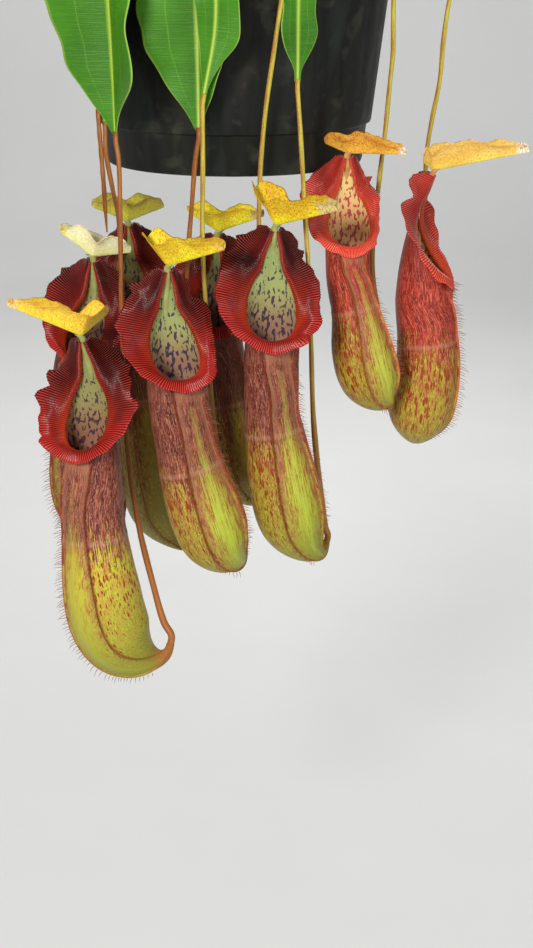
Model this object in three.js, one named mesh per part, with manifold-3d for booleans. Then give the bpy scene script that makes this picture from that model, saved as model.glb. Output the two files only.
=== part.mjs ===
// Pitcher plant in a plain plastic hanging pot.
// Millimetres, +Z up. The origin is the inner crown of the hanging hook, and the front faces -Y.
// A facing angle is measured about Z from the front, towards +X.

import * as THREE from 'three';
import Module from 'manifold-3d';
import { mergeVertices } from 'three/addons/utils/BufferGeometryUtils.js';

// Pot, soil and stem

const POT_RIM_Z = -360;
const POT_BASE_Z = -560;
const POT_LIP_R = 130;
const POT_TOP_R = 124;
const POT_BASE_R = 98;
const POT_STEP_Z = -530;
const POT_STEP_IN = 2.6;
const POT_WALL = 2.4;
const POT_LIP_H = 14;
const POT_SIDES = 28;
const DRAIN_R = 6;
const DRAIN_RING_R = 62;
const DRAIN_COUNT = 5;
// The pot hangs turned a little, with no drain hole square to the front.
const POT_TURN = 7.5;
const SOIL_TOP_Z = -390;
const SOIL_CROWN_Z = -372;
const SOIL_ROUGH = 2.5;
const STEM_R = 7;
const STEM_SIDES = 10;
const STEM_HOLE_R = 7.6;
const STEM_FOOT_Z = -430;
const STEM_TOP_Z = -262;
const SEAT_GAP = 0.3;

// Hanger

const HOOK_WIRE_R = 2;
const HOOK_BEND_R = 12;
const HUB_R = 8;
const HUB_TOP_Z = -42;
const HUB_BASE_Z = -58;
const WIRE_R = 1.1;
const WIRE_SIDES = 6;
const WIRE_FACINGS = [32, 152, 272];

// Pitchers

const WALL = 1.6;
const WING_RISE = 2.2;
const WING_HALF_WIDTH = 5;
const WING_ANGLE_MOUTH = 27;
const WING_ANGLE_BELLY = 37;
const TENDRIL_R = 1.7;
const TENDRIL_SIDES = 6;
const LID_THICKNESS = 1.1;
const LEAF_THICKNESS = 0.9;
const LEAF_STEPS = 12;

// Mouth rim of a full-sized pitcher, from the front lip up one side to the neck:
// forward, sideways and height above the lip.
const RIM_POINTS = [
  [20, 0, 0],
  [16.5, 9.5, 2.5],
  [7, 16.2, 11],
  [-3, 16.4, 25],
  [-9, 12.6, 41],
  [-8.5, 7.6, 56],
  [-3, 3.6, 70],
];
const NECK_TOP = [1, 0, 82];

// Places of the wall's corners along the rim, as shares of the way from lip to neck.
const RIM_CORNERS = [0, 0.1, 0.2, 0.3, 0.41, 0.53, 0.66, 0.8, 1];

// Collar width from the front lip up to the neck, for a full-sized pitcher.
const COLLAR_WIDTHS = [[0, 9], [0.15, 10], [0.3, 13], [0.45, 17.5],
  [0.6, 21.5], [0.75, 22], [0.84, 18], [0.9, 7]];

// The collar has two steps to each corner of the wall, and ends this many steps from the lip.
const COLLAR_END_STEP = 15;

// Triangles that close the ends of the collar's, the lid's and the leaf's sections.
const COLLAR_ENDS = [[0, 1, 6], [1, 2, 6], [2, 5, 6], [2, 3, 5], [3, 4, 5]];
const LID_ENDS = [[0, 1, 8], [0, 8, 9], [1, 2, 7], [1, 7, 8], [2, 3, 6], [2, 6, 7], [3, 4, 5], [3, 5, 6]];
const LEAF_ENDS = [[0, 1, 4], [0, 4, 5], [1, 2, 3], [1, 3, 4]];

// Each pitcher: facing, size of mouth, lean of the mouth to +X, waist and belly radius, sideways
// spread of the mouth, flare of the collar and phase of its waves, the axis from the lip down to
// the hooked base, and the lid.
const PITCHERS = [
  {
    facing: -17, mouth: 1, lean: -1.7, waist: 22.5, belly: 29, spread: 1.05, flare: 1.2, phase: 0.4,
    axis: [[-105, -140, -750], [-104, -140, -785], [-102, -140, -822], [-98, -140, -862], [-93, -140, -888],
      [-81, -140, -908], [-62, -140, -918], [-51, -140, -915], [-48, -140, -905]],
    lid: { facing: -66, length: 54, base: 20, half: 19, rise: 27, lobe: 15 },
  },
  {
    facing: 21, mouth: 0.97, lean: -4, waist: 21.6, belly: 27.2, spread: 1.2, flare: 0.92, phase: 1.7,
    axis: [[-39, -165, -692], [-37, -165, -716], [-33, -165, -742], [-26, -165, -770], [-18, -165, -796],
      [-10, -164, -817], [-1, -160, -829], [6, -152, -832], [8, -145, -826]],
    lid: { facing: 48, length: 54, base: 20, half: 19, rise: 18, lobe: 16 },
  },
  {
    facing: 8, mouth: 0.98, lean: 2.5, waist: 19.6, belly: 26, spread: 1.22, flare: 1.05, phase: 3.1,
    axis: [[27, -150, -667], [28, -150, -692], [28, -150, -719], [32, -150, -747], [38, -150, -780],
      [45, -150, -808], [57, -148, -827], [66, -142, -832], [69, -135, -826]],
    lid: { facing: 50, length: 55, base: 18, half: 20, rise: 16, lobe: 24 },
  },
  {
    facing: -15, mouth: 0.95, lean: 7, waist: 22.5, belly: 29, spread: 1, flare: 1, phase: 4,
    axis: [[-114, -75, -700], [-116, -75, -724], [-116, -75, -750], [-115, -75, -778], [-112, -75, -805],
      [-105, -75, -824], [-97, -73, -833], [-91, -67, -834], [-89, -60, -828]],
    lid: { facing: -66, length: 24, base: 30, half: 19, rise: 20, lobe: 1 },
  },
  {
    facing: 0, mouth: 0.9, lean: 0, waist: 21, belly: 28.5, spread: 1, flare: 1, phase: 5.2,
    axis: [[-83, -8, -681], [-82, -8, -706], [-79, -8, -742], [-73, -8, -778], [-66, -8, -817],
      [-59, -8, -848], [-48, -11, -866], [-39, -19, -872], [-36, -27, -866]],
    lid: { facing: -80, length: 28, base: 28, half: 19, rise: 12, lobe: 10 },
  },
  {
    facing: 10, mouth: 0.85, lean: 2, waist: 18.8, belly: 24.6, spread: 1, flare: 1, phase: 0.9,
    axis: [[-14, -85, -672], [-11, -85, -693], [-7, -85, -722], [-2, -85, -752], [4, -85, -778],
      [10, -86, -796], [17, -89, -806], [22, -95, -807], [24, -101, -800]],
    lid: { facing: 66, length: 37, base: 24, half: 17, rise: 14, lobe: 13 },
  },
  {
    facing: 5, mouth: 0.82, lean: -2, waist: 16.2, belly: 23.6, spread: 1.28, flare: 0.75, phase: 2.4,
    axis: [[85, -95, -611], [84, -95, -626], [86, -95, -643], [91, -95, -664], [95, -95, -686],
      [101, -95, -708], [110, -92, -725], [117, -86, -730], [119, -79, -724]],
    lid: { facing: 62, length: 46, base: 18, half: 15, rise: 2, lobe: 6 },
  },
  {
    facing: 75, mouth: 1, lean: 3, waist: 21.8, belly: 25.3, spread: 1.1, flare: 0.85, phase: 5.9,
    axis: [[143, -60, -643], [144, -60, -664], [146, -60, -685], [147, -60, -705], [145, -60, -726],
      [142, -59, -747], [141, -53, -762], [140, -45, -769], [141, -38, -763]],
    lid: { facing: 84, length: 70, base: 8, half: 20, rise: 15, lobe: 6 },
  },
];

// Radius along a pitcher's axis: share of the way from waist to belly, then share of the belly.
const UPPER_SWELL = [[0, 0.12], [0.12, 0], [0.28, 0.05], [0.42, 0.45], [0.56, 0.88], [0.66, 1]];
const LOWER_TAPER = [[0.66, 1], [0.74, 0.95], [0.81, 0.76], [0.87, 0.48],
  [0.92, 0.24], [0.96, 0.13], [1, 0.1]];
const WIDEST_PLACE = 0.66;

// Places of the body's rings along the axis, and of those between its shoulder and the rim.
const OUTER_PLACES = [1, 0.95, 0.9, 0.85, 0.76, 0.62, 0.46, 0.3];
const INNER_PLACES = [0.35, 0.64, 0.84];
const SHOULDER_PLACE = 0.1;
const OUTER_SHOULDER_SHARES = [0, 0.4, 0.72, 1];
const INNER_SHOULDER_SHARES = [1, 0.6, 0];

// The body has sixteen corners round it. Two of them are the crests of the wings.
const BODY_CORNERS = 16;
const WING_CORNERS = [2, 14];
const FAR_SIDE_CORNERS = [8, 9, 10, 11, 12, 13, 14, 15];

// Half the width of a lid: place along it, from the rounded lobe to the tip, then share of its half.
const LID_OUTLINE = [[-1, 0.3], [-0.6, 0.72], [0, 0.95], [0.25, 1],
  [0.55, 0.78], [0.8, 0.45], [1, 0.1]];
// A lid's halves rise steeply from its keel and flare out flat: rise for each half-width, and its loss.
const LID_STEEPNESS = 1.36;
const LID_FLARE = 0.64;
const LID_PLACES = [-1, -0.72, -0.36, 0, 0.18, 0.36, 0.54, 0.7, 0.86, 1];

// Free routes of the tendrils, leaf tip first. The last point meets the pitcher's hooked base.
const TENDRILS = [
  [[-82, -118, -527], [-80, -121, -545], [-80, -122, -600], [-81, -117, -655], [-81, -112, -710],
    [-79, -114, -765], [-72, -119, -817], [-62, -126, -860], [-53, -135, -890]],
  [[-19, -138, -499], [-20, -136, -542], [-21, -132, -607], [-19, -128, -650], [-17, -127, -700],
    [-13, -128, -745], [-6, -131, -785], [4, -138, -810]],
  [[46, -125, -490], [48, -127, -523], [52, -126, -586], [55, -121, -630], [57, -119, -680],
    [59, -120, -734], [64, -125, -785], [68, -131, -815]],
  [[-91, -100, -522], [-91, -99, -540], [-88, -84, -570], [-86, -60, -597], [-88, -46, -626],
    [-96, -44, -665], [-97, -42, -710], [-94, -43, -758], [-90, -50, -805]],
  [[-23, -128, -523], [-26, -122, -546], [-29, -116, -578], [-32, -114, -610], [-34, -112, -650],
    [-37, -105, -695], [-39, -90, -738], [-40, -72, -780], [-38, -50, -824], [-36, -34, -853]],
  [[38, -139, -405], [35, -133, -432], [30, -128, -466], [24, -120, -508], [20, -110, -554],
    [19, -107, -600], [22, -111, -650], [24, -112, -700], [25, -110, -745], [25, -105, -785]],
  [[114, -108, -405], [113, -105, -434], [113.5, -100, -455], [114, -94, -473], [113, -86, -492],
    [111, -70, -532], [108, -60, -568], [104, -60, -630], [110, -63, -674], [118, -72, -710]],
  [[160, -64, -408], [156, -62, -438], [153, -58, -466], [152, -48, -496], [148, -34, -528],
    [146, -20, -556], [147, -12, -590], [146, -13, -640], [145, -19, -690], [142, -30, -742]],
];
const BARE_TENDRIL = [[-97, -84, -515], [-96, -83, -538], [-95, -78, -566], [-95, -68, -590],
  [-95, -60, -606]];

// Leaves: facing at the stem and at the tip, facing of the blade where it hangs, height on the stem,
// peak height, radius where it passes the pot's rim, half-width, fold upwards, and the tip. Some
// sway towards +X below the rim, and some are narrower in their right half.
const LEAVES = [
  { from: -30, face: -45, base: -316, peak: -286, rimR: 153, half: 49, fold: 30, tip: TENDRILS[0][0] },
  {
    from: -4, face: -4, base: -324, peak: -304, rimR: 154, half: 18, fold: 12, sway: 9, right: 1,
    tip: TENDRILS[1][0],
  },
  { from: 20, face: 18, base: -346, peak: -334, rimR: 136, half: 14, fold: 10, tip: TENDRILS[2][0] },
  { from: -52, face: -42, base: -338, peak: -322, rimR: 145, half: 17, fold: 8, tip: TENDRILS[3][0] },
  {
    from: -13, face: -14, base: -344, peak: -326, rimR: 135, half: 42, fold: 12, sway: 0, right: 0.66,
    tip: TENDRILS[4][0],
  },
  { from: 12, face: 15, base: -300, peak: -276, rimR: 148, half: 24, fold: 14, tip: TENDRILS[5][0] },
  { from: 47, face: 47, base: -330, peak: -304, rimR: 146, half: 24, fold: 14, tip: TENDRILS[6][0] },
  { from: 68, face: 68, base: -308, peak: -280, rimR: 156, half: 26, fold: 16, tip: TENDRILS[7][0] },
  { from: -76, face: -50, base: -356, peak: -340, rimR: 138, half: 15, fold: 6, tip: BARE_TENDRIL[0] },
  { from: 100, face: 100, base: -350, peak: -326, rimR: 142, half: 34, fold: 18, tip: [150, 28, -432] },
  { from: 128, face: 128, base: -320, peak: -290, rimR: 150, half: 32, fold: 18, tip: [124, 98, -436] },
  { from: 180, face: 180, base: -340, peak: -314, rimR: 142, half: 40, fold: 18, tip: [6, 146, -535] },
  { from: 208, face: 208, base: -312, peak: -268, rimR: 154, half: 34, fold: 18, tip: [-72, 136, -470] },
  { from: 238, face: 238, base: -334, peak: -304, rimR: 144, half: 32, fold: 18, tip: [-116, 94, -500] },
];
const LEAF_OUTLINE = [[0, 0.14], [0.12, 0.13], [0.25, 0.3], [0.4, 0.68], [0.55, 0.94], [0.66, 1],
  [0.76, 0.92], [0.85, 0.68], [0.92, 0.4], [0.97, 0.16], [1, 0.05]];
const LEAF_TIP_HALF = 2;
const LEAF_WAVE = 2;
const LEAF_KEEL = 1.2;

const COLORS = {
  pot: 0x2b2c2b, soil: 0x4a3424, stem: 0x6b5a33, leaf: 0x4f9a2b, tendril: 0xb98b3c, pitcher: 0x9a6b45,
  pitcherPink: 0xa8553f, peristome: 0xb3261c, lid: 0xd9c22e, wire: 0x3a3b3a,
};
const UP = new THREE.Vector3(0, 0, 1);
const DEGREE = Math.PI / 180;

const wasm = await Module();
wasm.setup();

const vector = (p) => new THREE.Vector3(p[0], p[1], p[2]);
const mix = (a, b, t) => a + (b - a) * t;
const sine = (degrees) => Math.sin(degrees * DEGREE);
const cosine = (degrees) => Math.cos(degrees * DEGREE);
const facingVector = (degrees) => new THREE.Vector3(sine(degrees), -cosine(degrees), 0);
const sideVector = (degrees) => new THREE.Vector3(cosine(degrees), sine(degrees), 0);

// Reads a curve given as pairs of place and value, straight from one pair to the next.
function readProfile(pairs, t) {
  for (let i = 1; i < pairs.length; i += 1) {
    const [t0, v0] = pairs[i - 1];
    const [t1, v1] = pairs[i];
    if (t <= t1) {
      return mix(v0, v1, Math.max(0, (t - t0) / (t1 - t0)));
    }
  }
  return pairs[pairs.length - 1][1];
}

function signedVolume(points, triangles) {
  let volume = 0;
  for (let i = 0; i < triangles.length; i += 3) {
    const a = points[triangles[i]];
    const b = points[triangles[i + 1]];
    const c = points[triangles[i + 2]];
    volume += a.dot(b.clone().cross(c)) / 6;
  }
  return volume;
}

function geometryFrom(points, triangles) {
  const order = signedVolume(points, triangles) < 0 ? [...triangles].reverse() : triangles;
  const geometry = new THREE.BufferGeometry();
  const flat = points.flatMap((p) => [p.x, p.y, p.z]);
  geometry.setAttribute('position', new THREE.Float32BufferAttribute(flat, 3));
  geometry.setIndex(order);
  return geometry;
}

// Skins a row of rings that all have the same number of points, and closes both ends.
// A strip named in turned has its quads cut along the other diagonal.
function skin(rings, turned = [], capTriangles = null) {
  const count = rings[0].length;
  const points = rings.flat();
  const triangles = [];
  for (let i = 0; i + 1 < rings.length; i += 1) {
    for (let k = 0; k < count; k += 1) {
      const a = i * count + k;
      const b = i * count + ((k + 1) % count);
      const c = b + count;
      const d = a + count;
      if (turned.includes(k)) {
        triangles.push(a, b, d, b, c, d);
      } else {
        triangles.push(a, b, c, a, c, d);
      }
    }
  }
  const last = (rings.length - 1) * count;
  if (capTriangles) {
    for (const [a, b, c] of capTriangles) {
      triangles.push(a, c, b, last + a, last + b, last + c);
    }
    return geometryFrom(points, triangles);
  }
  for (const [start, inward] of [[0, true], [last, false]]) {
    const centre = points.length;
    const middle = new THREE.Vector3();
    for (let k = 0; k < count; k += 1) {
      middle.addScaledVector(points[start + k], 1 / count);
    }
    points.push(middle);
    for (let k = 0; k < count; k += 1) {
      const a = start + k;
      const b = start + ((k + 1) % count);
      triangles.push(...(inward ? [centre, b, a] : [centre, a, b]));
    }
  }
  return geometryFrom(points, triangles);
}

// A round bar through a row of points, with a radius for every point.
function bar(points, sides, radii) {
  const rings = [];
  const normal = new THREE.Vector3(0, 1, 0);
  points.forEach((centre, i) => {
    const before = points[Math.max(0, i - 1)];
    const after = points[Math.min(points.length - 1, i + 1)];
    const along = after.clone().sub(before).normalize();
    normal.addScaledVector(along, -normal.dot(along)).normalize();
    const other = along.clone().cross(normal);
    const ring = [];
    for (let k = 0; k < sides; k += 1) {
      const angle = (2 * Math.PI * k) / sides;
      ring.push(centre.clone()
        .addScaledVector(normal, radii[i] * Math.cos(angle))
        .addScaledVector(other, radii[i] * Math.sin(angle)));
    }
    rings.push(ring);
  });
  return skin(rings);
}

function smoothCurve(points) {
  return new THREE.CatmullRomCurve3(points.map(vector), false, 'centripetal');
}

function toManifold(geometry) {
  const bare = new THREE.BufferGeometry();
  bare.setAttribute('position', geometry.getAttribute('position').clone());
  if (geometry.index) {
    bare.setIndex(geometry.index.clone());
  }
  const merged = mergeVertices(bare, 1e-4);
  return new wasm.Manifold(new wasm.Mesh({
    numProp: 3,
    vertProperties: new Float32Array(merged.getAttribute('position').array),
    triVerts: new Uint32Array(merged.index.array),
  }));
}

function fromManifold(solid) {
  const mesh = solid.getMesh();
  const geometry = new THREE.BufferGeometry();
  geometry.setAttribute('position', new THREE.BufferAttribute(new Float32Array(mesh.vertProperties), 3));
  geometry.setIndex(new THREE.BufferAttribute(new Uint32Array(mesh.triVerts), 1));
  return geometry;
}

// Turns a profile of radius and height about the Z axis.
function lathe(profile, sides) {
  const geometry = new THREE.LatheGeometry(profile.map(([r, z]) => new THREE.Vector2(r, z)), sides);
  geometry.rotateX(Math.PI / 2);
  geometry.deleteAttribute('normal');
  geometry.deleteAttribute('uv');
  return mergeVertices(geometry, 1e-4);
}

function potGeometry() {
  const stepR = mix(POT_BASE_R, POT_TOP_R, (POT_STEP_Z - POT_BASE_Z) / (POT_RIM_Z - POT_BASE_Z));
  const lipBase = POT_RIM_Z - POT_LIP_H;
  const profile = [
    [0, POT_BASE_Z],
    [POT_BASE_R - 2, POT_BASE_Z],
    [POT_BASE_R, POT_BASE_Z + 2],
    [stepR - 0.8, POT_STEP_Z],
    [stepR + POT_STEP_IN, POT_STEP_Z + 1.5],
    [POT_TOP_R, lipBase],
    [POT_LIP_R, lipBase],
    [POT_LIP_R, POT_RIM_Z - 1.5],
    [POT_LIP_R - 1.5, POT_RIM_Z],
    [POT_TOP_R + 1, POT_RIM_Z],
    [POT_TOP_R - POT_WALL, lipBase],
    [stepR + POT_STEP_IN - POT_WALL, POT_STEP_Z + 4],
    [POT_BASE_R - POT_WALL, POT_BASE_Z + POT_WALL + 1],
    [0, POT_BASE_Z + POT_WALL + 1],
  ];
  let solid = toManifold(lathe(profile, POT_SIDES));
  for (let i = 0; i < DRAIN_COUNT; i += 1) {
    const angle = (2 * Math.PI * i) / DRAIN_COUNT;
    const drill = new THREE.CylinderGeometry(DRAIN_R, DRAIN_R, 20, 8);
    drill.rotateX(Math.PI / 2);
    drill.translate(DRAIN_RING_R * Math.cos(angle), DRAIN_RING_R * Math.sin(angle), POT_BASE_Z);
    solid = solid.subtract(toManifold(drill));
  }
  return fromManifold(solid.rotate([0, 0, POT_TURN]));
}

function soilGeometry() {
  const floor = POT_BASE_Z + POT_WALL + 1 + SEAT_GAP;
  const gap = 0.6;
  const potR = mix(POT_BASE_R, POT_TOP_R, (SOIL_TOP_Z - POT_BASE_Z) / (POT_RIM_Z - POT_BASE_Z));
  const topR = potR - POT_WALL - gap;
  const profile = [
    [0, floor],
    [POT_BASE_R - POT_WALL - gap, floor],
    [topR, SOIL_TOP_Z],
    [topR * 0.78, mix(SOIL_TOP_Z, SOIL_CROWN_Z, 0.4)],
    [topR * 0.55, mix(SOIL_TOP_Z, SOIL_CROWN_Z, 0.7)],
    [topR * 0.3, mix(SOIL_TOP_Z, SOIL_CROWN_Z, 0.95)],
    [STEM_HOLE_R, SOIL_CROWN_Z],
    [STEM_HOLE_R, STEM_FOOT_Z - SEAT_GAP],
    [0, STEM_FOOT_Z - SEAT_GAP],
  ];
  const geometry = lathe(profile, POT_SIDES);
  const position = geometry.getAttribute('position');
  for (let i = 0; i < position.count; i += 1) {
    const x = position.getX(i);
    const y = position.getY(i);
    const r = Math.hypot(x, y);
    if (position.getZ(i) > SOIL_TOP_Z + 1 && r > STEM_HOLE_R + 5) {
      const bump = Math.sin(x * 0.13 + 1) * Math.cos(y * 0.17) + 0.6 * Math.sin(x * 0.31 + y * 0.27);
      position.setZ(i, position.getZ(i) + SOIL_ROUGH * bump);
    }
  }
  return geometry;
}

// A jointed stem, thickest where it leaves the soil, with a blunt growing tip.
function stemGeometry() {
  const rings = [];
  const joints = [[SOIL_CROWN_Z, 1], [-350, 0.92], [-325, 1], [-300, 0.9], [-280, 0.8], [-268, 0.5]];
  for (const [z, share] of [[STEM_FOOT_Z, 1], ...joints, [STEM_TOP_Z, 0.2]]) {
    const ring = [];
    for (let k = 0; k < STEM_SIDES; k += 1) {
      const angle = (2 * Math.PI * k) / STEM_SIDES;
      const r = STEM_R * share;
      ring.push(new THREE.Vector3(r * Math.cos(angle), r * Math.sin(angle), z));
    }
    rings.push(ring);
  }
  return skin(rings);
}

// The hook and the hub that gathers the wires are one moulding.
function hookGeometry() {
  const bendZ = HOOK_WIRE_R - HOOK_BEND_R;
  const route = [[0, 0, HUB_TOP_Z - 4], [0, 0, bendZ - HOOK_BEND_R - 10]];
  for (let angle = -72; angle <= 205; angle += 23) {
    route.push([
      HOOK_BEND_R * cosine(angle),
      0,
      bendZ + HOOK_BEND_R * sine(angle),
    ]);
  }
  const hook = bar(route.map(vector), 8, route.map(() => HOOK_WIRE_R));
  const hub = lathe([
    [0, HUB_BASE_Z],
    [HUB_R - 1, HUB_BASE_Z],
    [HUB_R, HUB_BASE_Z + 2],
    [HUB_R, HUB_TOP_Z - 5],
    [HOOK_WIRE_R + 1.5, HUB_TOP_Z],
    [0, HUB_TOP_Z],
  ], 16);
  return fromManifold(toManifold(hub).add(toManifold(hook)));
}

// A stiff wire from under the hub to the pot's rim, bent over the lip and under it.
function wireGeometry(facing) {
  const out = facingVector(facing);
  const over = POT_RIM_Z + WIRE_R + SEAT_GAP;
  const beside = POT_LIP_R + WIRE_R + SEAT_GAP;
  const under = POT_RIM_Z - POT_LIP_H - WIRE_R - SEAT_GAP;
  const stops = [[4.4, HUB_BASE_Z - SEAT_GAP], [4.8, HUB_BASE_Z - 6], [7, -70], [11, -80], [118, over + 11],
    [121, over + 4], [124.5, over + 0.8], [POT_LIP_R - 1, over], [beside, over - 2.4],
    [beside, under + 2], [beside - 1.8, under], [beside - 4.5, under]];
  const route = stops.map(([r, z]) => new THREE.Vector3(out.x * r, out.y * r, z));
  return bar(route, WIRE_SIDES, stops.map(() => WIRE_R));
}

function tipFacing(leaf) {
  return Math.atan2(leaf.tip[0], -leaf.tip[1]) / DEGREE;
}

// The shorter way round from one facing to another.
function turnBetween(from, to) {
  return ((to - from + 540) % 360) - 180;
}

// A leaf's midrib: up from the stem, over the pot's rim and down to the tip.
function leafCurve(leaf) {
  const tip = vector(leaf.tip);
  const turn = turnBetween(leaf.from, tipFacing(leaf));
  const at = (r, z, share) => facingVector(leaf.from + turn * share).multiplyScalar(r).setZ(z);
  const swayed = (...place) => at(...place).add(new THREE.Vector3(leaf.sway ?? 0, 0, 0));
  const tipR = Math.hypot(tip.x, tip.y);
  return new THREE.CatmullRomCurve3([
    at(STEM_R + 0.2, leaf.base, 0),
    at(30, mix(leaf.base, leaf.peak, 0.6), 0.05),
    at(72, leaf.peak, 0.3),
    at(112, leaf.peak - 12, 0.6),
    swayed(leaf.rimR - 1, mix(leaf.peak, POT_RIM_Z, 0.72), 0.85),
    swayed(mix(leaf.rimR, tipR, 0.3), mix(POT_RIM_Z, tip.z, 0.2), 0.95),
    swayed(mix(leaf.rimR, tipR, 0.8), mix(POT_RIM_Z, tip.z, 0.65), 1),
    tip,
  ], false, 'centripetal');
}

// A leaf blade along its midrib: folded up in two halves, with waved edges and a keel beneath.
function leafGeometry(leaf, index) {
  const curve = leafCurve(leaf);
  const turn = turnBetween(leaf.from, tipFacing(leaf));
  const faceTurn = turnBetween(tipFacing(leaf), leaf.face);
  const rings = [];
  for (let i = 0; i <= LEAF_STEPS; i += 1) {
    const t = i / LEAF_STEPS;
    const centre = curve.getPointAt(t);
    const along = curve.getTangentAt(t);
    const facing = leaf.from + turn * Math.min(1, t * 1.2) + faceTurn * t * t;
    const side = sideVector(facing);
    side.addScaledVector(along, -side.dot(along)).normalize();
    const normal = along.clone().cross(side);
    const half = Math.max(LEAF_TIP_HALF, leaf.half * readProfile(LEAF_OUTLINE, t));
    const fold = leaf.fold * DEGREE * Math.min(1, t * 3);
    const wave = LEAF_WAVE * (half / leaf.half) * Math.sin(i * 2.1 + index);
    const point = (across, lift) => centre.clone()
      .addScaledVector(side, across)
      .addScaledVector(normal, lift);
    const edgeIn = half * Math.cos(fold);
    const edgeUp = half * Math.sin(fold);
    const right = leaf.right ?? 1;
    const thin = LEAF_THICKNESS;
    rings.push([
      point(edgeIn * right, edgeUp * right + wave),
      point(0, 0),
      point(-edgeIn, edgeUp - wave),
      point(-edgeIn, edgeUp - wave - thin),
      point(0, -thin - LEAF_KEEL),
      point(edgeIn * right, edgeUp * right + wave - thin),
    ]);
  }
  return skin(rings, [3, 4], LEAF_ENDS);
}

// A tendril leaves the leaf's tip along the midrib, and meets the base of the pitcher, if it has one.
function tendrilGeometry(leaf, route, pitcher) {
  const midrib = leafCurve(leaf);
  const leaving = midrib.getTangentAt(1);
  const start = vector(leaf.tip).addScaledVector(leaving, SEAT_GAP);
  const points = [start.clone().addScaledVector(leaving, 5), ...route.slice(1).map(vector)];
  const ends = [];
  if (pitcher) {
    const last = vector(pitcher.axis[pitcher.axis.length - 1]);
    const meeting = smoothCurve(pitcher.axis).getTangentAt(1);
    points.push(last.clone().addScaledVector(meeting, 6));
    ends.push(last.clone().addScaledVector(meeting, 1.5 * SEAT_GAP));
  }
  const curve = new THREE.CatmullRomCurve3(points, false, 'centripetal');
  const steps = Math.round(route.length * 1.5) + 3;
  const along = [...Array(steps + 1).keys()].map((i) => curve.getPointAt(i / steps));
  const stations = [start, ...along, ...ends];
  const radii = stations.map((_, i) => TENDRIL_R * (pitcher && i > steps ? 1.3 : 1));
  return bar(stations, TENDRIL_SIDES, radii);
}

// A pitcher's own frame at the lip: forward, sideways and up along its lean.
function mouthFrame(pitcher) {
  const up = new THREE.Vector3(Math.sin(pitcher.lean * DEGREE), 0, Math.cos(pitcher.lean * DEGREE));
  const front = facingVector(pitcher.facing);
  front.addScaledVector(up, -front.dot(up)).normalize();
  const side = up.clone().cross(front);
  return { origin: vector(pitcher.axis[0]), front, side, up };
}

const rimCurve = new THREE.CatmullRomCurve3([
  ...RIM_POINTS.map(vector),
  vector(NECK_TOP),
  ...RIM_POINTS.slice(1).reverse().map(([f, s, z]) => new THREE.Vector3(f, -s, z)),
], true, 'centripetal');

// Point of a pitcher's smooth inner rim at a share of the way from lip (0) to neck (1), on side
// +1 or -1.
function rimPoint(pitcher, share, side) {
  const p = rimCurve.getPoint(share / 2);
  return new THREE.Vector3(p.x, p.y * side * pitcher.spread, p.z).multiplyScalar(pitcher.mouth);
}

// The same on the wall's own rim, which runs straight from corner to corner.
function wallRimPoint(pitcher, place, side) {
  const low = Math.min(Math.floor(place), RIM_CORNERS.length - 2);
  const start = rimPoint(pitcher, RIM_CORNERS[low], side);
  return start.lerp(rimPoint(pitcher, RIM_CORNERS[low + 1], side), place - low);
}

function placeInMouth(frame, p) {
  return frame.origin.clone()
    .addScaledVector(frame.front, p.x)
    .addScaledVector(frame.side, p.y)
    .addScaledVector(frame.up, p.z);
}

function pitcherRadius(pitcher, t) {
  if (t <= WIDEST_PLACE) {
    return mix(pitcher.waist, pitcher.belly, readProfile(UPPER_SWELL, t));
  }
  return pitcher.belly * readProfile(LOWER_TAPER, t);
}

// Angles of the wall's corners round the body, with a narrow ridge for each wing.
function columnAngles(wing) {
  const half = [wing - WING_HALF_WIDTH, wing, wing + WING_HALF_WIDTH, 66, 95, 125, 153];
  return [0, ...half, 180, ...half.map((a) => -a).reverse()];
}

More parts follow.
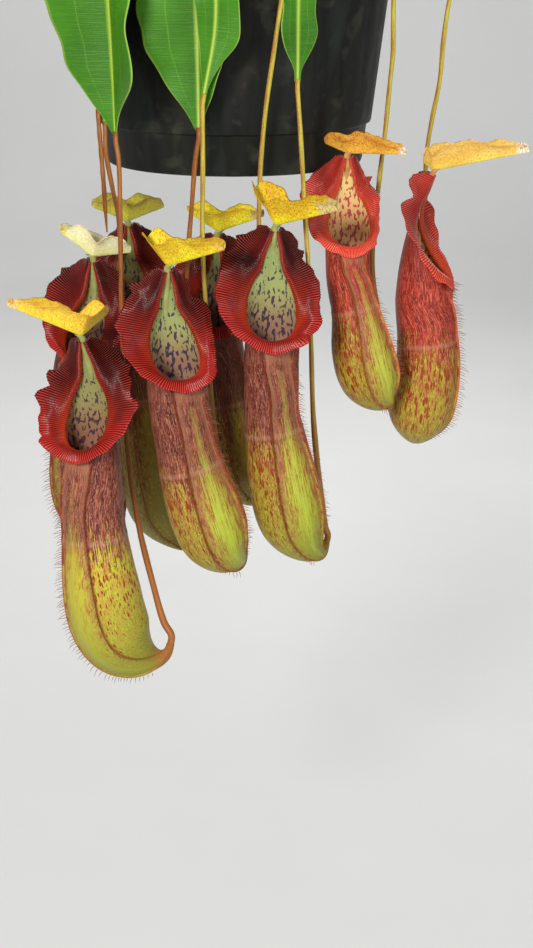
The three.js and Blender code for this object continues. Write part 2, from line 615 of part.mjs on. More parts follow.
// The hollow body: outer wall from the hooked base up to the rim, then the inner wall down again.
function bodyGeometry(pitcher) {
  const frame = mouthFrame(pitcher);
  const curve = smoothCurve(pitcher.axis);
  const ringAt = (t, inset, ridged) => {
    const centre = curve.getPointAt(t);
    const up = curve.getTangentAt(t).negate();
    const front = frame.front.clone().addScaledVector(up, -frame.front.dot(up)).normalize();
    const side = up.clone().cross(front);
    const wing = mix(WING_ANGLE_MOUTH, WING_ANGLE_BELLY, Math.min(1, t * 1.6));
    const radius = pitcherRadius(pitcher, t) - inset;
    return columnAngles(wing).map((angle, k) => {
      const onWing = ridged && WING_CORNERS.includes(k) && t < 0.9;
      const reach = radius + (onWing ? WING_RISE : 0);
      return centre.clone()
        .addScaledVector(front, reach * cosine(angle))
        .addScaledVector(side, reach * sine(angle));
    });
  };
  const shoulderRing = (inset) => ringAt(SHOULDER_PLACE, inset, false);
  const rimRing = (outset) => columnAngles(WING_ANGLE_MOUTH).map((angle, k) => {
    const corner = Math.min(k, BODY_CORNERS - k);
    const side = Math.sign(angle) || 1;
    const p = rimPoint(pitcher, RIM_CORNERS[corner], side);
    const outward = side * RIM_CORNERS[corner] * Math.PI;
    p.x += outset * Math.cos(outward);
    p.y += outset * Math.sin(outward);
    return placeInMouth(frame, p);
  });
  const blend = (low, high, share, ridge) => low.map((p, k) => {
    const across = share ** 2.2;
    const height = p.clone().lerp(high[k], share);
    const level = p.clone().lerp(high[k], across);
    const rise = height.clone().sub(level).dot(frame.up);
    const point = level.addScaledVector(frame.up, rise);
    if (ridge && WING_CORNERS.includes(k)) {
      point.addScaledVector(frame.front, WING_RISE * (1 - share));
    }
    return point;
  });
  const outerLow = shoulderRing(0);
  const outerHigh = rimRing(WALL);
  const innerLow = shoulderRing(WALL);
  const innerHigh = rimRing(0);
  const rings = [];
  for (const t of OUTER_PLACES) {
    rings.push(ringAt(t, 0, true));
  }
  for (const share of OUTER_SHOULDER_SHARES) {
    rings.push(blend(outerLow, outerHigh, share, true));
  }
  for (const share of INNER_SHOULDER_SHARES) {
    rings.push(blend(innerLow, innerHigh, share, false));
  }
  for (const t of INNER_PLACES) {
    rings.push(ringAt(t, WALL, false));
  }
  return skin(rings, FAR_SIDE_CORNERS);
}

// The ribbed collar that rolls out from the rim, open at the neck.
function collarGeometry(pitcher) {
  const frame = mouthFrame(pitcher);
  const rings = [];
  for (let i = -COLLAR_END_STEP; i <= COLLAR_END_STEP; i += 1) {
    const side = i < 0 ? -1 : 1;
    const place = Math.abs(i) / 2;
    const low = Math.floor(place);
    const share = mix(RIM_CORNERS[low], RIM_CORNERS[low + 1], place - low);
    const before = rimPoint(pitcher, Math.max(0, share - 0.02), side);
    const along = rimPoint(pitcher, share + 0.02, side).sub(before).normalize();
    if (i === 0) {
      along.set(0, 1, 0);
    }
    const angle = share * Math.PI;
    const out = new THREE.Vector3(Math.cos(angle), side * Math.sin(angle), 0);
    out.addScaledVector(along, -out.dot(along)).normalize();
    const face = out.clone().cross(along).multiplyScalar(side);
    const scallop = 1 + 0.09 * Math.sin(i * 1.7 + pitcher.phase) * Math.min(1, share * 3);
    const flare = mix(1, pitcher.flare, Math.min(1, share * 3));
    const reach = readProfile(COLLAR_WIDTHS, share) * scallop * flare;
    const rib = i % 2 === 0 ? 0.4 : 0;
    const droop = mix(-5, 2.5, Math.min(1, share * 2.2));
    const leg = mix(2.6, 0.4, Math.min(1, Math.max(0, (share - 0.15) / 0.25)));
    const section = [
      [-2.1, -leg],
      [-2.3, 1 + rib],
      [1.6, 3 + rib],
      [reach * 0.6, mix(2.2, 4, Math.min(1, share * 2)) + rib],
      [reach, droop],
      [2.6, 1.6],
      [-0.6, 0.7],
    ];
    const base = wallRimPoint(pitcher, place, side);
    rings.push(section.map(([n, m]) => placeInMouth(frame, base.clone()
      .addScaledVector(out, n)
      .addScaledVector(face, m))));
  }
  return skin(rings, [], COLLAR_ENDS);
}

// The lid: a blade folded up along its keel, with a rounded lobe behind the neck and waved edges.
function lidGeometry(pitcher, index) {
  const frame = mouthFrame(pitcher);
  const { facing, length, base, half, rise, lobe } = pitcher.lid;
  const neck = placeInMouth(frame, vector(NECK_TOP).multiplyScalar(pitcher.mouth));
  const ahead = facingVector(facing);
  const across = sideVector(facing);
  const rings = [];
  for (const t of LID_PLACES) {
    const reach = t < 0 ? base * t : length * t;
    const lift = t < 0 ? -lobe * t : rise * t;
    const halfWidth = half * readProfile(LID_OUTLINE, t);
    const centre = neck.clone()
      .addScaledVector(ahead, reach)
      .addScaledVector(UP, lift + LID_THICKNESS + 2 * SEAT_GAP);
    const top = [];
    for (const w of [1, 0.5, 0, -0.5, -1]) {
      const wave = 1.6 * w * w * Math.sin(7 * t + index + w) * (halfWidth / half);
      const cup = Math.abs(w) * halfWidth * (LID_STEEPNESS - LID_FLARE * Math.abs(w));
      top.push(centre.clone()
        .addScaledVector(across, w * halfWidth * 0.75)
        .addScaledVector(UP, cup + wave));
    }
    const low = top.map((p) => p.clone().addScaledVector(UP, -LID_THICKNESS)).reverse();
    rings.push([...top, ...low]);
  }
  return skin(rings, [5, 6, 7, 8], LID_ENDS);
}

const plant = new THREE.Group();

function add(name, geometry, color, roughness, metalness = 0) {
  const material = new THREE.MeshStandardMaterial({ color, roughness, metalness });
  const mesh = new THREE.Mesh(geometry, material);
  mesh.name = name;
  plant.add(mesh);
}

add('pot', potGeometry(), COLORS.pot, 0.45);
add('soil', soilGeometry(), COLORS.soil, 0.95);
add('stem', stemGeometry(), COLORS.stem, 0.7);
add('hanger_hook', hookGeometry(), COLORS.wire, 0.4);
WIRE_FACINGS.forEach((facing, i) => {
  add(`hanger_wire_${i + 1}`, wireGeometry(facing), COLORS.wire, 0.35, 0.6);
});
LEAVES.forEach((leaf, i) => add(`leaf_${i + 1}`, leafGeometry(leaf, i), COLORS.leaf, 0.35));
TENDRILS.forEach((route, i) => {
  add(`tendril_${i + 1}`, tendrilGeometry(LEAVES[i], route, PITCHERS[i]), COLORS.tendril, 0.45);
});
add('tendril_9', tendrilGeometry(LEAVES[8], BARE_TENDRIL, null), COLORS.tendril, 0.45);
PITCHERS.forEach((pitcher, i) => {
  const body = i < 6 ? COLORS.pitcher : COLORS.pitcherPink;
  add(`pitcher_${i + 1}`, bodyGeometry(pitcher), body, 0.45);
  add(`peristome_${i + 1}`, collarGeometry(pitcher), COLORS.peristome, 0.2);
  add(`lid_${i + 1}`, lidGeometry(pitcher, i), COLORS.lid, 0.4);
});

export default plant;
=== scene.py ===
"""Looks of a pitcher plant in a plain plastic hanging pot.

The tables are in millimetres, with the origin in the crown of the hook and the front facing -Y.
A facing angle is measured about Z from the front, towards +X.
"""

import random
from collections import namedtuple
from math import atan2, cos, degrees, exp, hypot, pi, radians, sin, sqrt

import bpy
import numpy as np
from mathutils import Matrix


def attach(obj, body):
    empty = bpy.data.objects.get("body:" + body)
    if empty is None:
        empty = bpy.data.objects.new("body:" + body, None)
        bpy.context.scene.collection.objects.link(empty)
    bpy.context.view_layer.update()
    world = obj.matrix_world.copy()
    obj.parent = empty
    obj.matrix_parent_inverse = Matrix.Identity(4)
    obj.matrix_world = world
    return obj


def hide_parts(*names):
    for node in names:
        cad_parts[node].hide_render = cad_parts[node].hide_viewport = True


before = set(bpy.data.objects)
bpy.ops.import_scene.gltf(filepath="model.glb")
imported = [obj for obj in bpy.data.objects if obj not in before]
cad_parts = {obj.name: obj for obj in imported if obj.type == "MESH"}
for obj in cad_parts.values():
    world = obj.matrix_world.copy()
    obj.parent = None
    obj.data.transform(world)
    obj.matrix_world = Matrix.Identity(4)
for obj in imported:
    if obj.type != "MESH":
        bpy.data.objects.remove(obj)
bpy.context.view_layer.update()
MM = 0.001

# Pot, soil, stem and hanger
POT_RIM_Z, POT_BASE_Z, POT_STEP_Z = -360.0, -560.0, -530.0
POT_LIP_R, POT_TOP_R, POT_BASE_R = 130.0, 124.0, 98.0
POT_STEP_IN, POT_WALL, POT_LIP_H = 2.6, 2.4, 14.0
POT_SIDES, POT_RIBS, POT_RIB_DEPTH = 144, 36, 0.35
DRAIN_R, DRAIN_RING_R, DRAIN_COUNT = 6.0, 62.0, 5
SOIL_TOP_Z, SOIL_CROWN_Z, CHIPS_TRIED, CHIP_SIDES = -390.0, -372.0, 340, 6
STEM_R, STEM_FOOT_Z, STEM_TOP_Z = 7.0, -430.0, -262.0
HOOK_WIRE_R, HOOK_BEND_R = 2.0, 12.0
HUB_R, HUB_TOP_Z, HUB_BASE_Z = 8.0, -42.0, -58.0
WIRE_R, WIRE_FACINGS, SEAT_GAP = 1.1, (32, 152, 272), 0.3

# Pitchers
WALL, HIP_RISE = 1.6, 0.35
WING_RISE, WING_ANGLE_MOUTH, WING_ANGLE_BELLY, WING_HALF_WIDTH = 2.2, 27.0, 37.0, 5.0
RIM_POINTS = [(20, 0, 0), (16.5, 9.5, 2.5), (7, 16.2, 11), (-3, 16.4, 25), (-9, 12.6, 41),
              (-8.5, 7.6, 56), (-3, 3.6, 70)]
NECK_TOP = (1, 0, 82)
RIM_CORNERS = [0, 0.1, 0.2, 0.3, 0.41, 0.53, 0.66, 0.8, 1]
COLLAR_WIDTHS = [(0, 8), (0.15, 9.5), (0.3, 13), (0.45, 17.5), (0.6, 21.5), (0.75, 22), (0.84, 18),
                 (0.9, 8), (0.95, 3.5)]
UPPER_SWELL = [(0, 0.12), (0.12, 0), (0.28, 0.05), (0.42, 0.45), (0.56, 0.88), (0.66, 1)]
LOWER_TAPER = [(0.66, 1), (0.74, 0.95), (0.81, 0.76), (0.87, 0.48), (0.92, 0.24), (0.96, 0.13), (1, 0.1)]
SHOULDER, CAVITY_END = 0.1, 0.84
# The body's first rings, which are evened out, and how often
EVENED_RINGS, EVENING_PASSES = 62, 26
COLLAR_RIBS, COLLAR_RIB_HEIGHT, COLLAR_END, INNER_REACH_MOST = 146, 0.8, 0.945, 2.2
COLLAR_TOP, COLLAR_UNDER = np.linspace(0, 1, 22), np.linspace(0, 1, 7)
# How brown the hooked end of each cup is
HOOK_BROWN = [1] + [0.3] * 7

# Facing of the mouth and of the wings, size and lean of the mouth, radii, hip below the lip, spread, flare
# and phase of the collar, axis from lip to hooked base, and the lid.
Pitcher = namedtuple("Pitcher", "facing wings mouth lean waist belly hip spread flare phase axis"
                                " lid_facing lid_length lid_base lid_half lid_rise lid_lobe")
PITCHERS = [Pitcher(*row) for row in [
    (-17, -42, 1, -1.7, 22.5, 29, 68, 1.05, 1.2, 0.4,
     [(-105, -140, -750), (-104, -140, -785), (-102, -140, -822), (-98, -140, -862), (-93, -140, -888),
      (-81, -140, -908), (-62, -140, -918), (-51, -140, -915), (-48, -140, -905)],
     -66, 54, 20, 19, 27, 15),
    (21, 32, 0.97, -4, 21.6, 27.2, 65, 1.2, 0.92, 1.7,
     [(-39, -165, -692), (-37, -165, -716), (-33, -165, -742), (-26, -165, -770), (-18, -165, -796),
      (-10, -164, -817), (-1, -160, -829), (6, -152, -832), (8, -145, -826)],
     48, 54, 20, 19, 18, 16),
    (8, 30, 0.98, 2.5, 19.6, 26, 67, 1.22, 1.05, 3.1,
     [(27, -150, -667), (28, -150, -692), (28, -150, -719), (32, -150, -747), (38, -150, -780),
      (45, -150, -808), (57, -148, -827), (66, -142, -832), (69, -135, -826)],
     50, 55, 18, 20, 16, 24),
    (-15, -28, 0.95, 7, 22.5, 29, 60, 1, 1, 4,
     [(-114, -75, -700), (-116, -75, -724), (-116, -75, -750), (-115, -75, -778), (-112, -75, -805),
      (-105, -75, -824), (-97, -73, -833), (-91, -67, -834), (-89, -60, -828)],
     -66, 24, 30, 19, 20, 1),
    (0, 20, 0.9, 0, 21, 28.5, 66, 1, 1, 5.2,
     [(-83, -8, -681), (-82, -8, -706), (-79, -8, -742), (-73, -8, -778), (-66, -8, -817),
      (-59, -8, -848), (-48, -11, -866), (-39, -19, -872), (-36, -27, -866)],
     -80, 28, 28, 19, 12, 10),
    (10, 28, 0.85, 2, 18.8, 24.6, 58, 1, 1, 0.9,
     [(-14, -85, -672), (-11, -85, -693), (-7, -85, -722), (-2, -85, -752), (4, -85, -778),
      (10, -86, -796), (17, -89, -806), (22, -95, -807), (24, -101, -800)],
     66, 37, 24, 17, 14, 13),
    (5, 34, 0.82, -2, 16.2, 23.6, 46, 1.28, 0.75, 2.4,
     [(85, -95, -611), (84, -95, -626), (86, -95, -643), (91, -95, -664), (95, -95, -686),
      (101, -95, -708), (110, -92, -725), (117, -86, -730), (119, -79, -724)],
     62, 46, 18, 15, 2, 6),
    (75, 112, 1, 3, 21.8, 25.3, 47, 1.1, 0.85, 5.9,
     [(143, -60, -643), (144, -60, -664), (146, -60, -685), (147, -60, -705), (145, -60, -726),
      (142, -59, -747), (141, -53, -762), (140, -45, -769), (141, -38, -763)],
     84, 70, 8, 20, 15, 6),
]]

# Free routes of the tendrils, leaf tip first. The last route is the bare one.
TENDRILS = [
    [(-82, -118, -527), (-80, -121, -545), (-80, -122, -600), (-81, -117, -655), (-81, -112, -710),
     (-79, -114, -765), (-72, -119, -817), (-62, -126, -860), (-53, -135, -890)],
    [(-19, -138, -499), (-20, -136, -542), (-21, -132, -607), (-19, -128, -650), (-17, -127, -700),
     (-13, -128, -745), (-6, -131, -785), (4, -138, -810)],
    [(46, -125, -490), (48, -127, -523), (52, -126, -586), (55, -121, -630), (57, -119, -680),
     (59, -120, -734), (64, -125, -785), (68, -131, -815)],
    [(-91, -100, -522), (-91, -99, -540), (-88, -84, -570), (-86, -60, -597), (-88, -46, -626),
     (-96, -44, -665), (-97, -42, -710), (-94, -43, -758), (-90, -50, -805)],
    [(-23, -128, -523), (-26, -122, -546), (-29, -116, -578), (-32, -114, -610), (-34, -112, -650),
     (-37, -105, -695), (-39, -90, -738), (-40, -72, -780), (-38, -50, -824), (-36, -34, -853)],
    [(38, -139, -405), (35, -133, -432), (30, -128, -466), (24, -120, -508), (20, -110, -554),
     (19, -107, -600), (22, -111, -650), (24, -112, -700), (25, -110, -745), (25, -105, -785)],
    [(114, -108, -405), (113, -105, -434), (113.5, -100, -455), (114, -94, -473), (113, -86, -492),
     (111, -70, -532), (108, -60, -568), (104, -60, -630), (110, -63, -674), (118, -72, -710)],
    [(160, -64, -408), (156, -62, -438), (153, -58, -466), (152, -48, -496), (148, -34, -528),
     (146, -20, -556), (147, -12, -590), (146, -13, -640), (145, -19, -690), (142, -30, -742)],
    [(-97, -84, -515), (-96, -83, -538), (-95, -78, -566), (-95, -68, -590), (-95, -60, -606)],
]
TENDRIL_R, YELLOW_TENDRILS = 1.7, (2, 3, 6, 7, 8)

# How far each collar's margin stands out beyond its plain outline, left and right, by hundredths of the
# way from lip to neck.
MARGINS = [
    ([(0, 0), (12, 3), (17, 4), (21, 8), (26, 2.5), (42, -0.5), (46.5, 5), (50, 1), (54, -6.5),
      (58.5, 0), (60.5, 0), (63, -9), (78, -8), (84, -3), (90, 1)],
     [(0, 0), (6, 1.5), (15, 4), (36, 4), (42, 2.5), (46.5, 3), (50, -5), (62, -7.5), (66, -5),
      (69, -7.5), (80, -7), (86, -5), (90, 1)]),
    ([(0, 0), (12, 3.5), (18, 5), (30, 8), (36, 8), (48, 4.5), (53, 5.5), (60, 0), (72, -2),
      (75.5, 1.5), (79, -4), (85, -3), (90, 4)],
     [(0, 0), (6, 1.5), (12, 3), (18, 2), (24, -1.5), (36, -4.5), (45, -4), (54, -2), (60, -3.5),
      (66, -8), (70, -9), (74, -5), (76, -4), (79, -7), (85, -2), (90, 2)]),
    ([(0, 0), (12, 1), (20, 3), (27, 5), (36, 5.5), (45, 3.5), (54, 1), (66, 0), (72, -4),
      (75.5, 2), (79, -3), (85, -2), (90, 5)],
     [(0, 0), (13, 1.5), (17, 6.5), (21, 1.5), (30, 3), (37, -1.5), (48, -2), (55, -4.5), (62, -7),
      (66.5, -10), (69.5, -4), (73, -9), (80, -7), (85, -4), (90, 3)]),
    ([(0, -3), (10, -6), (18, -7), (24, -3), (30, 0), (36, 3), (45, 5), (60, 6.5), (66, 3),
      (69.5, 7), (73, 0.5), (78, -2), (90, 1)],
     [(0, -3), (30, 0), (50, -3), (60, -6), (84, -6), (90, 1)]),
    ([(0, 0), (50, 0), (62, -5), (72, -8), (84, -7), (90, 2)],
     [(0, 0), (50, 0), (62, -3), (72, -6), (84, -4), (90, 3)]),
    ([(0, 0), (50, 0), (70, -4), (84, -5), (90, 2)],
     [(0, 0), (50, 0), (66, -2), (70, 1), (74, -4), (84, -4), (90, 2)]),
    ([(0, -5.5), (10, -4.5), (18, -1), (24, 1.5), (30, 4), (48, 4.5), (55, 6), (60, 5), (66, 2),
      (72, 2), (78, -1.5), (84, -2), (90, 4)],
     [(0, -5.5), (12, -5), (20, -4), (27, -6), (36, -7), (56, -6), (62, -8), (66.5, -9), (69, -4.5),
      (72, -9), (80, -9), (86, -6), (90, 0)]),
    ([(0, -4), (10, -1), (20, 4), (36, 5), (45, 2), (54, 2.5), (62, 3), (68, 0), (72, -5), (75.5, -10),
      (77.5, -10), (81, -3), (85, 1), (90, 7)],
     [(0, -5), (10, -5), (30, -1), (55, 2), (62, 4), (70, 0), (74, -7), (80, -4), (90, 6)]),
]
# Where and how far the left and right flank of a collar curl forward, where they do.
CURLS = {8: ((0.3, -5.0), (0.58, 9.0))}

# Leaves: facing at the stem, facing where the blade hangs, height on the stem, peak, radius at the
# pot's rim, half-width, fold, tip, sway towards +X and width of the right half.
LEAVES = [
    (-30, -45, -316, -286, 153, 49, 30, TENDRILS[0][0], 0, 1),
    (-4, -4, -324, -304, 154, 18, 12, TENDRILS[1][0], 9, 1),
    (20, 18, -346, -334, 136, 14, 10, TENDRILS[2][0], 0, 1),
    (-52, -42, -338, -322, 145, 17, 8, TENDRILS[3][0], 0, 1),
    (-13, -14, -344, -326, 135, 42, 12, TENDRILS[4][0], 0, 0.66),
    (12, 15, -300, -276, 148, 24, 14, TENDRILS[5][0], 0, 1),
    (47, 47, -330, -304, 146, 24, 14, TENDRILS[6][0], 0, 1),
    (68, 68, -308, -280, 156, 26, 16, TENDRILS[7][0], 0, 1),
    (-76, -50, -356, -340, 138, 15, 6, TENDRILS[8][0], 0, 1),
    (100, 100, -350, -326, 142, 34, 18, (150, 28, -432), 0, 1),
    (128, 128, -320, -290, 150, 32, 18, (124, 98, -436), 0, 1),
    (180, 180, -340, -314, 142, 40, 18, (6, 146, -535), 0, 1),
    (208, 208, -312, -268, 154, 34, 18, (-72, 136, -470), 0, 1),
    (238, 238, -334, -304, 144, 32, 18, (-116, 94, -500), 0, 1),
]
LEAF_OUTLINE = [(0, 0.14), (0.12, 0.13), (0.25, 0.3), (0.4, 0.68), (0.55, 0.94), (0.66, 1),
                (0.76, 0.92), (0.85, 0.68), (0.92, 0.4), (0.97, 0.16), (1, 0.05)]
# Fuller parts near a leaf's tip: place, length, and how much fuller the left and right halves are.
LEAF_FULL = {1: (0.89, 0.06, 0.12, 1.1), 2: (0.87, 0.05, 0, 0.6), 3: (0.9, 0.06, 0.75, 0.85),
             5: (0.86, 0.09, 0.1, 0)}
LEAF_TIP_HALF, LEAF_WAVE, LEAF_THICKNESS, LEAF_KEEL, LEAF_STEPS = 2.0, 2.0, 0.9, 1.2, 12
LID_OUTLINE = [(-1, 0.1), (-0.93, 0.42), (-0.6, 0.78), (0, 0.95), (0.25, 1), (0.55, 0.8), (0.8, 0.5),
               (0.95, 0.32), (1, 0.1)]
LID_THICKNESS, LID_STEEPNESS, LID_FLARE = 1.1, 1.48, 0.64


# Small maths

def unit(v):
    return v / np.maximum(np.linalg.norm(v, axis=-1, keepdims=True), 1e-12)


def mix(a, b, t):
    return a + (b - a) * t


def smooth(t):
    t = np.clip(t, 0, 1)
    return t * t * (3 - 2 * t)


def squared(v, axis):
    """The part of a direction that is square to an axis, at unit length."""
    return unit(v - axis * v.dot(axis))


def facing_vector(angle, out=1, z=0):
    angle = radians(angle)
    return np.array([out * sin(angle), -out * cos(angle), z])


def turn_between(start, end):
    return (end - start + 540) % 360 - 180


def cubic(p1, p2, m1, m2, t):
    return (p1 * (2 * t**3 - 3 * t**2 + 1) + m1 * (t**3 - 2 * t**2 + t)
            + p2 * (3 * t**2 - 2 * t**3) + m2 * (t**3 - t**2))


def profile(pairs, t):
    """A smooth curve through pairs of place and value, with no overshoot."""
    x, y = np.array(pairs, float).T
    slope = np.diff(y) / np.diff(x)
    total = slope[:-1] + slope[1:]
    same = slope[:-1] * slope[1:] > 0
    inner = np.where(same, 2 * slope[:-1] * slope[1:] / np.where(same, total, 1), 0)
    m = np.r_[slope[:1], inner, slope[-1:]]
    t = np.clip(np.asarray(t, float), x[0], x[-1])
    i = np.clip(np.searchsorted(x, t, side="right") - 1, 0, len(x) - 2)
    h = x[i + 1] - x[i]
    return cubic(y[i], y[i + 1], m[i] * h, m[i + 1] * h, (t - x[i]) / h)


class Path:
    """A centripetal curve through points, read by the share of its length or by its points."""

    STEPS, SPAN = 40, 0.004

    def __init__(self, points, closed=False):
        p = np.array(points, float)
        if closed:
            p = np.vstack([p[-1:], p, p[:2]])
        else:
            p = np.vstack([2 * p[0] - p[1], p, 2 * p[-1] - p[-2]])
        t = np.linspace(0, 1, self.STEPS, endpoint=False)[:, None]
        rows = []
        for p0, p1, p2, p3 in zip(p, p[1:], p[2:], p[3:]):
            d0, d1, d2 = (max(np.linalg.norm(gap) ** 0.5, 1e-3) for gap in (p1 - p0, p2 - p1, p3 - p2))
            m1 = ((p1 - p0) / d0 - (p2 - p0) / (d0 + d1) + (p2 - p1) / d1) * d1
            m2 = ((p2 - p1) / d1 - (p3 - p1) / (d1 + d2) + (p3 - p2) / d2) * d1
            rows.append(cubic(p1, p2, m1, m2, t))
        rows.append(p[-2:-1])
        self.table = np.vstack(rows)
        steps = np.linalg.norm(np.diff(self.table, axis=0), axis=1)
        self.length = steps.sum()
        self.shares = np.r_[0, np.cumsum(steps)] / self.length

    def read(self, t, places):
        return np.stack([np.interp(t, places, column) for column in self.table.T], axis=-1)

    def at(self, t):
        return self.read(t, self.shares)

    def by_point(self, u):
        return self.read(u, np.arange(len(self.table)) / self.STEPS)

    def along(self, t):
        return unit(self.at(np.minimum(t + self.SPAN, 1)) - self.at(np.maximum(t - self.SPAN, 0)))


# Mesh building

def new_object(name, points, faces):
    mesh = bpy.data.meshes.new(name)
    mesh.from_pydata(points, [], faces)
    obj = bpy.data.objects.new(name, mesh)
    bpy.context.scene.collection.objects.link(obj)
    return obj


def grid_object(name, rings, uv=None, mask=None, slots=None):
    """A closed skin over rings of points in millimetres. slots gives each strip's material slot."""
    rings = np.asarray(rings, float)
    count, size = rings.shape[:2]
    points = rings.reshape(-1, 3) * MM
    i, k = np.meshgrid(np.arange(count - 1), np.arange(size), indexing="ij")
    here, after = i * size + k, i * size + (k + 1) % size
    quads = np.stack([here, after, after + size, here + size], -1).reshape(-1, 4)
    a, b, c, d = (points[quads[:, n]] for n in range(4))
    volume = (a * (np.cross(b, c) + np.cross(c, d))).sum()
    for end, sign in ((points[:size], -1), (points[-size:], 1)):
        volume += sign * (np.cross(end[1:-1], end[2:]) @ end[0]).sum()
    turn = -1 if volume < 0 else 1
    ends = [list(range(size))[::-1], list(range((count - 1) * size, count * size))]
    obj = new_object(name, points.tolist(), [face[::turn] for face in quads.tolist() + ends])
    mesh = obj.data
    if uv is not None:
        corners = np.stack([uv[i, k], uv[i, k + 1], uv[i + 1, k + 1], uv[i + 1, k]], 2).reshape(-1, 4, 2)
        flat = np.vstack([corners[:, ::turn].reshape(-1, 2), np.repeat(uv[[0, -1], 0], size, axis=0)])
        mesh.uv_layers.new(name="UVMap").data.foreach_set("uv", flat.astype(np.float32).ravel())
    if mask is not None:
        rgba = np.ones((count * size, 4), np.float32)
        rgba[:, :3] = np.reshape(mask, (-1, 3))
        mesh.attributes.new("mask", "FLOAT_COLOR", "POINT").data.foreach_set("color", rgba.ravel())
    if slots is not None:
        mesh.polygons.foreach_set("material_index", [*np.repeat(slots, size), slots[0], slots[-1]])
    mesh.polygons.foreach_set("use_smooth", [True] * len(mesh.polygons))
    mesh.update()
    return obj


def blade_object(name, w, rows):
    """A thin blade, each row with its top, underside, rib, place along it, and scale and place on the map."""
    both = np.r_[w, w[::-1]]
    rings, masks, uvs = [], [], []
    for top, low, rib, along, u, v in rows:
        rings.append(np.vstack([top, low[::-1]]))
        masks.append(np.stack([np.r_[rib, rib[::-1]], np.abs(both), both * 0 + along], -1))
        place = np.stack([both * u, both * 0 + v], -1)
        uvs.append(np.vstack([place, place[:1]]))
    return grid_object(name, rings, np.array(uvs), masks)


def bars(name, stacks):
    """Many small closed bars in one mesh, each from its stack of rings in millimetres."""
    points, faces = [], []
    for stack in stacks:
        start, size = len(points), len(stack[0])
        points += [q * MM for ring in stack for q in ring]
        for k in range(start, len(points) - size, size):
            for n in range(size):
                m = (n + 1) % size
                faces.append((k + n, k + m, k + size + m, k + size + n))
        faces += [tuple(range(start, start + size))[::-1], tuple(range(len(points) - size, len(points)))]
    return new_object(name, points, faces)


def dress(obj, slot, *materials, node=None):
    """Gives a piece its materials and lets it stand for its CAD node. slot is not used."""
    for material in materials:
        obj.data.materials.append(material)
    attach(obj, "root")
    if node:
        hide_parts(node)


def tube(name, points, radii, sides=12):
    """A round bar through points, with u round it and v along it in decimetres."""
    points = np.asarray(points, float)
    normal = np.array([0.0, 1.0, 0.0])
    rings = []
    directions = unit(np.gradient(points, axis=0))
    for centre, direction, radius in zip(points, directions, radii + np.zeros(len(points))):
        normal = squared(normal, direction)
        other = np.cross(direction, normal)
        rings.append([centre + radius * (cos(a) * normal + sin(a) * other) for a in circle(sides)])
    v = np.r_[0, np.cumsum(np.linalg.norm(np.diff(points, axis=0), axis=1))] / 100
    uv = np.stack(np.broadcast_arrays(np.linspace(0, 1, sides + 1), v[:, None]), -1)
    return grid_object(name, rings, uv)


def circle(sides):
    return np.linspace(0, 2 * pi, sides, endpoint=False)


def lathe_rings(stops, sides):
    return np.array([[(r * cos(a), r * sin(a), z) for a in circle(sides)] for r, z in stops])


# Materials

def colour(code):
    """A colour given as on screen, in the shader's linear values."""
    value = [int(code[n:n + 2], 16) / 255 for n in (0, 2, 4)]
    return [v / 12.92 if v <= 0.04045 else ((v + 0.055) / 1.055) ** 2.4 for v in value] + [1.0]


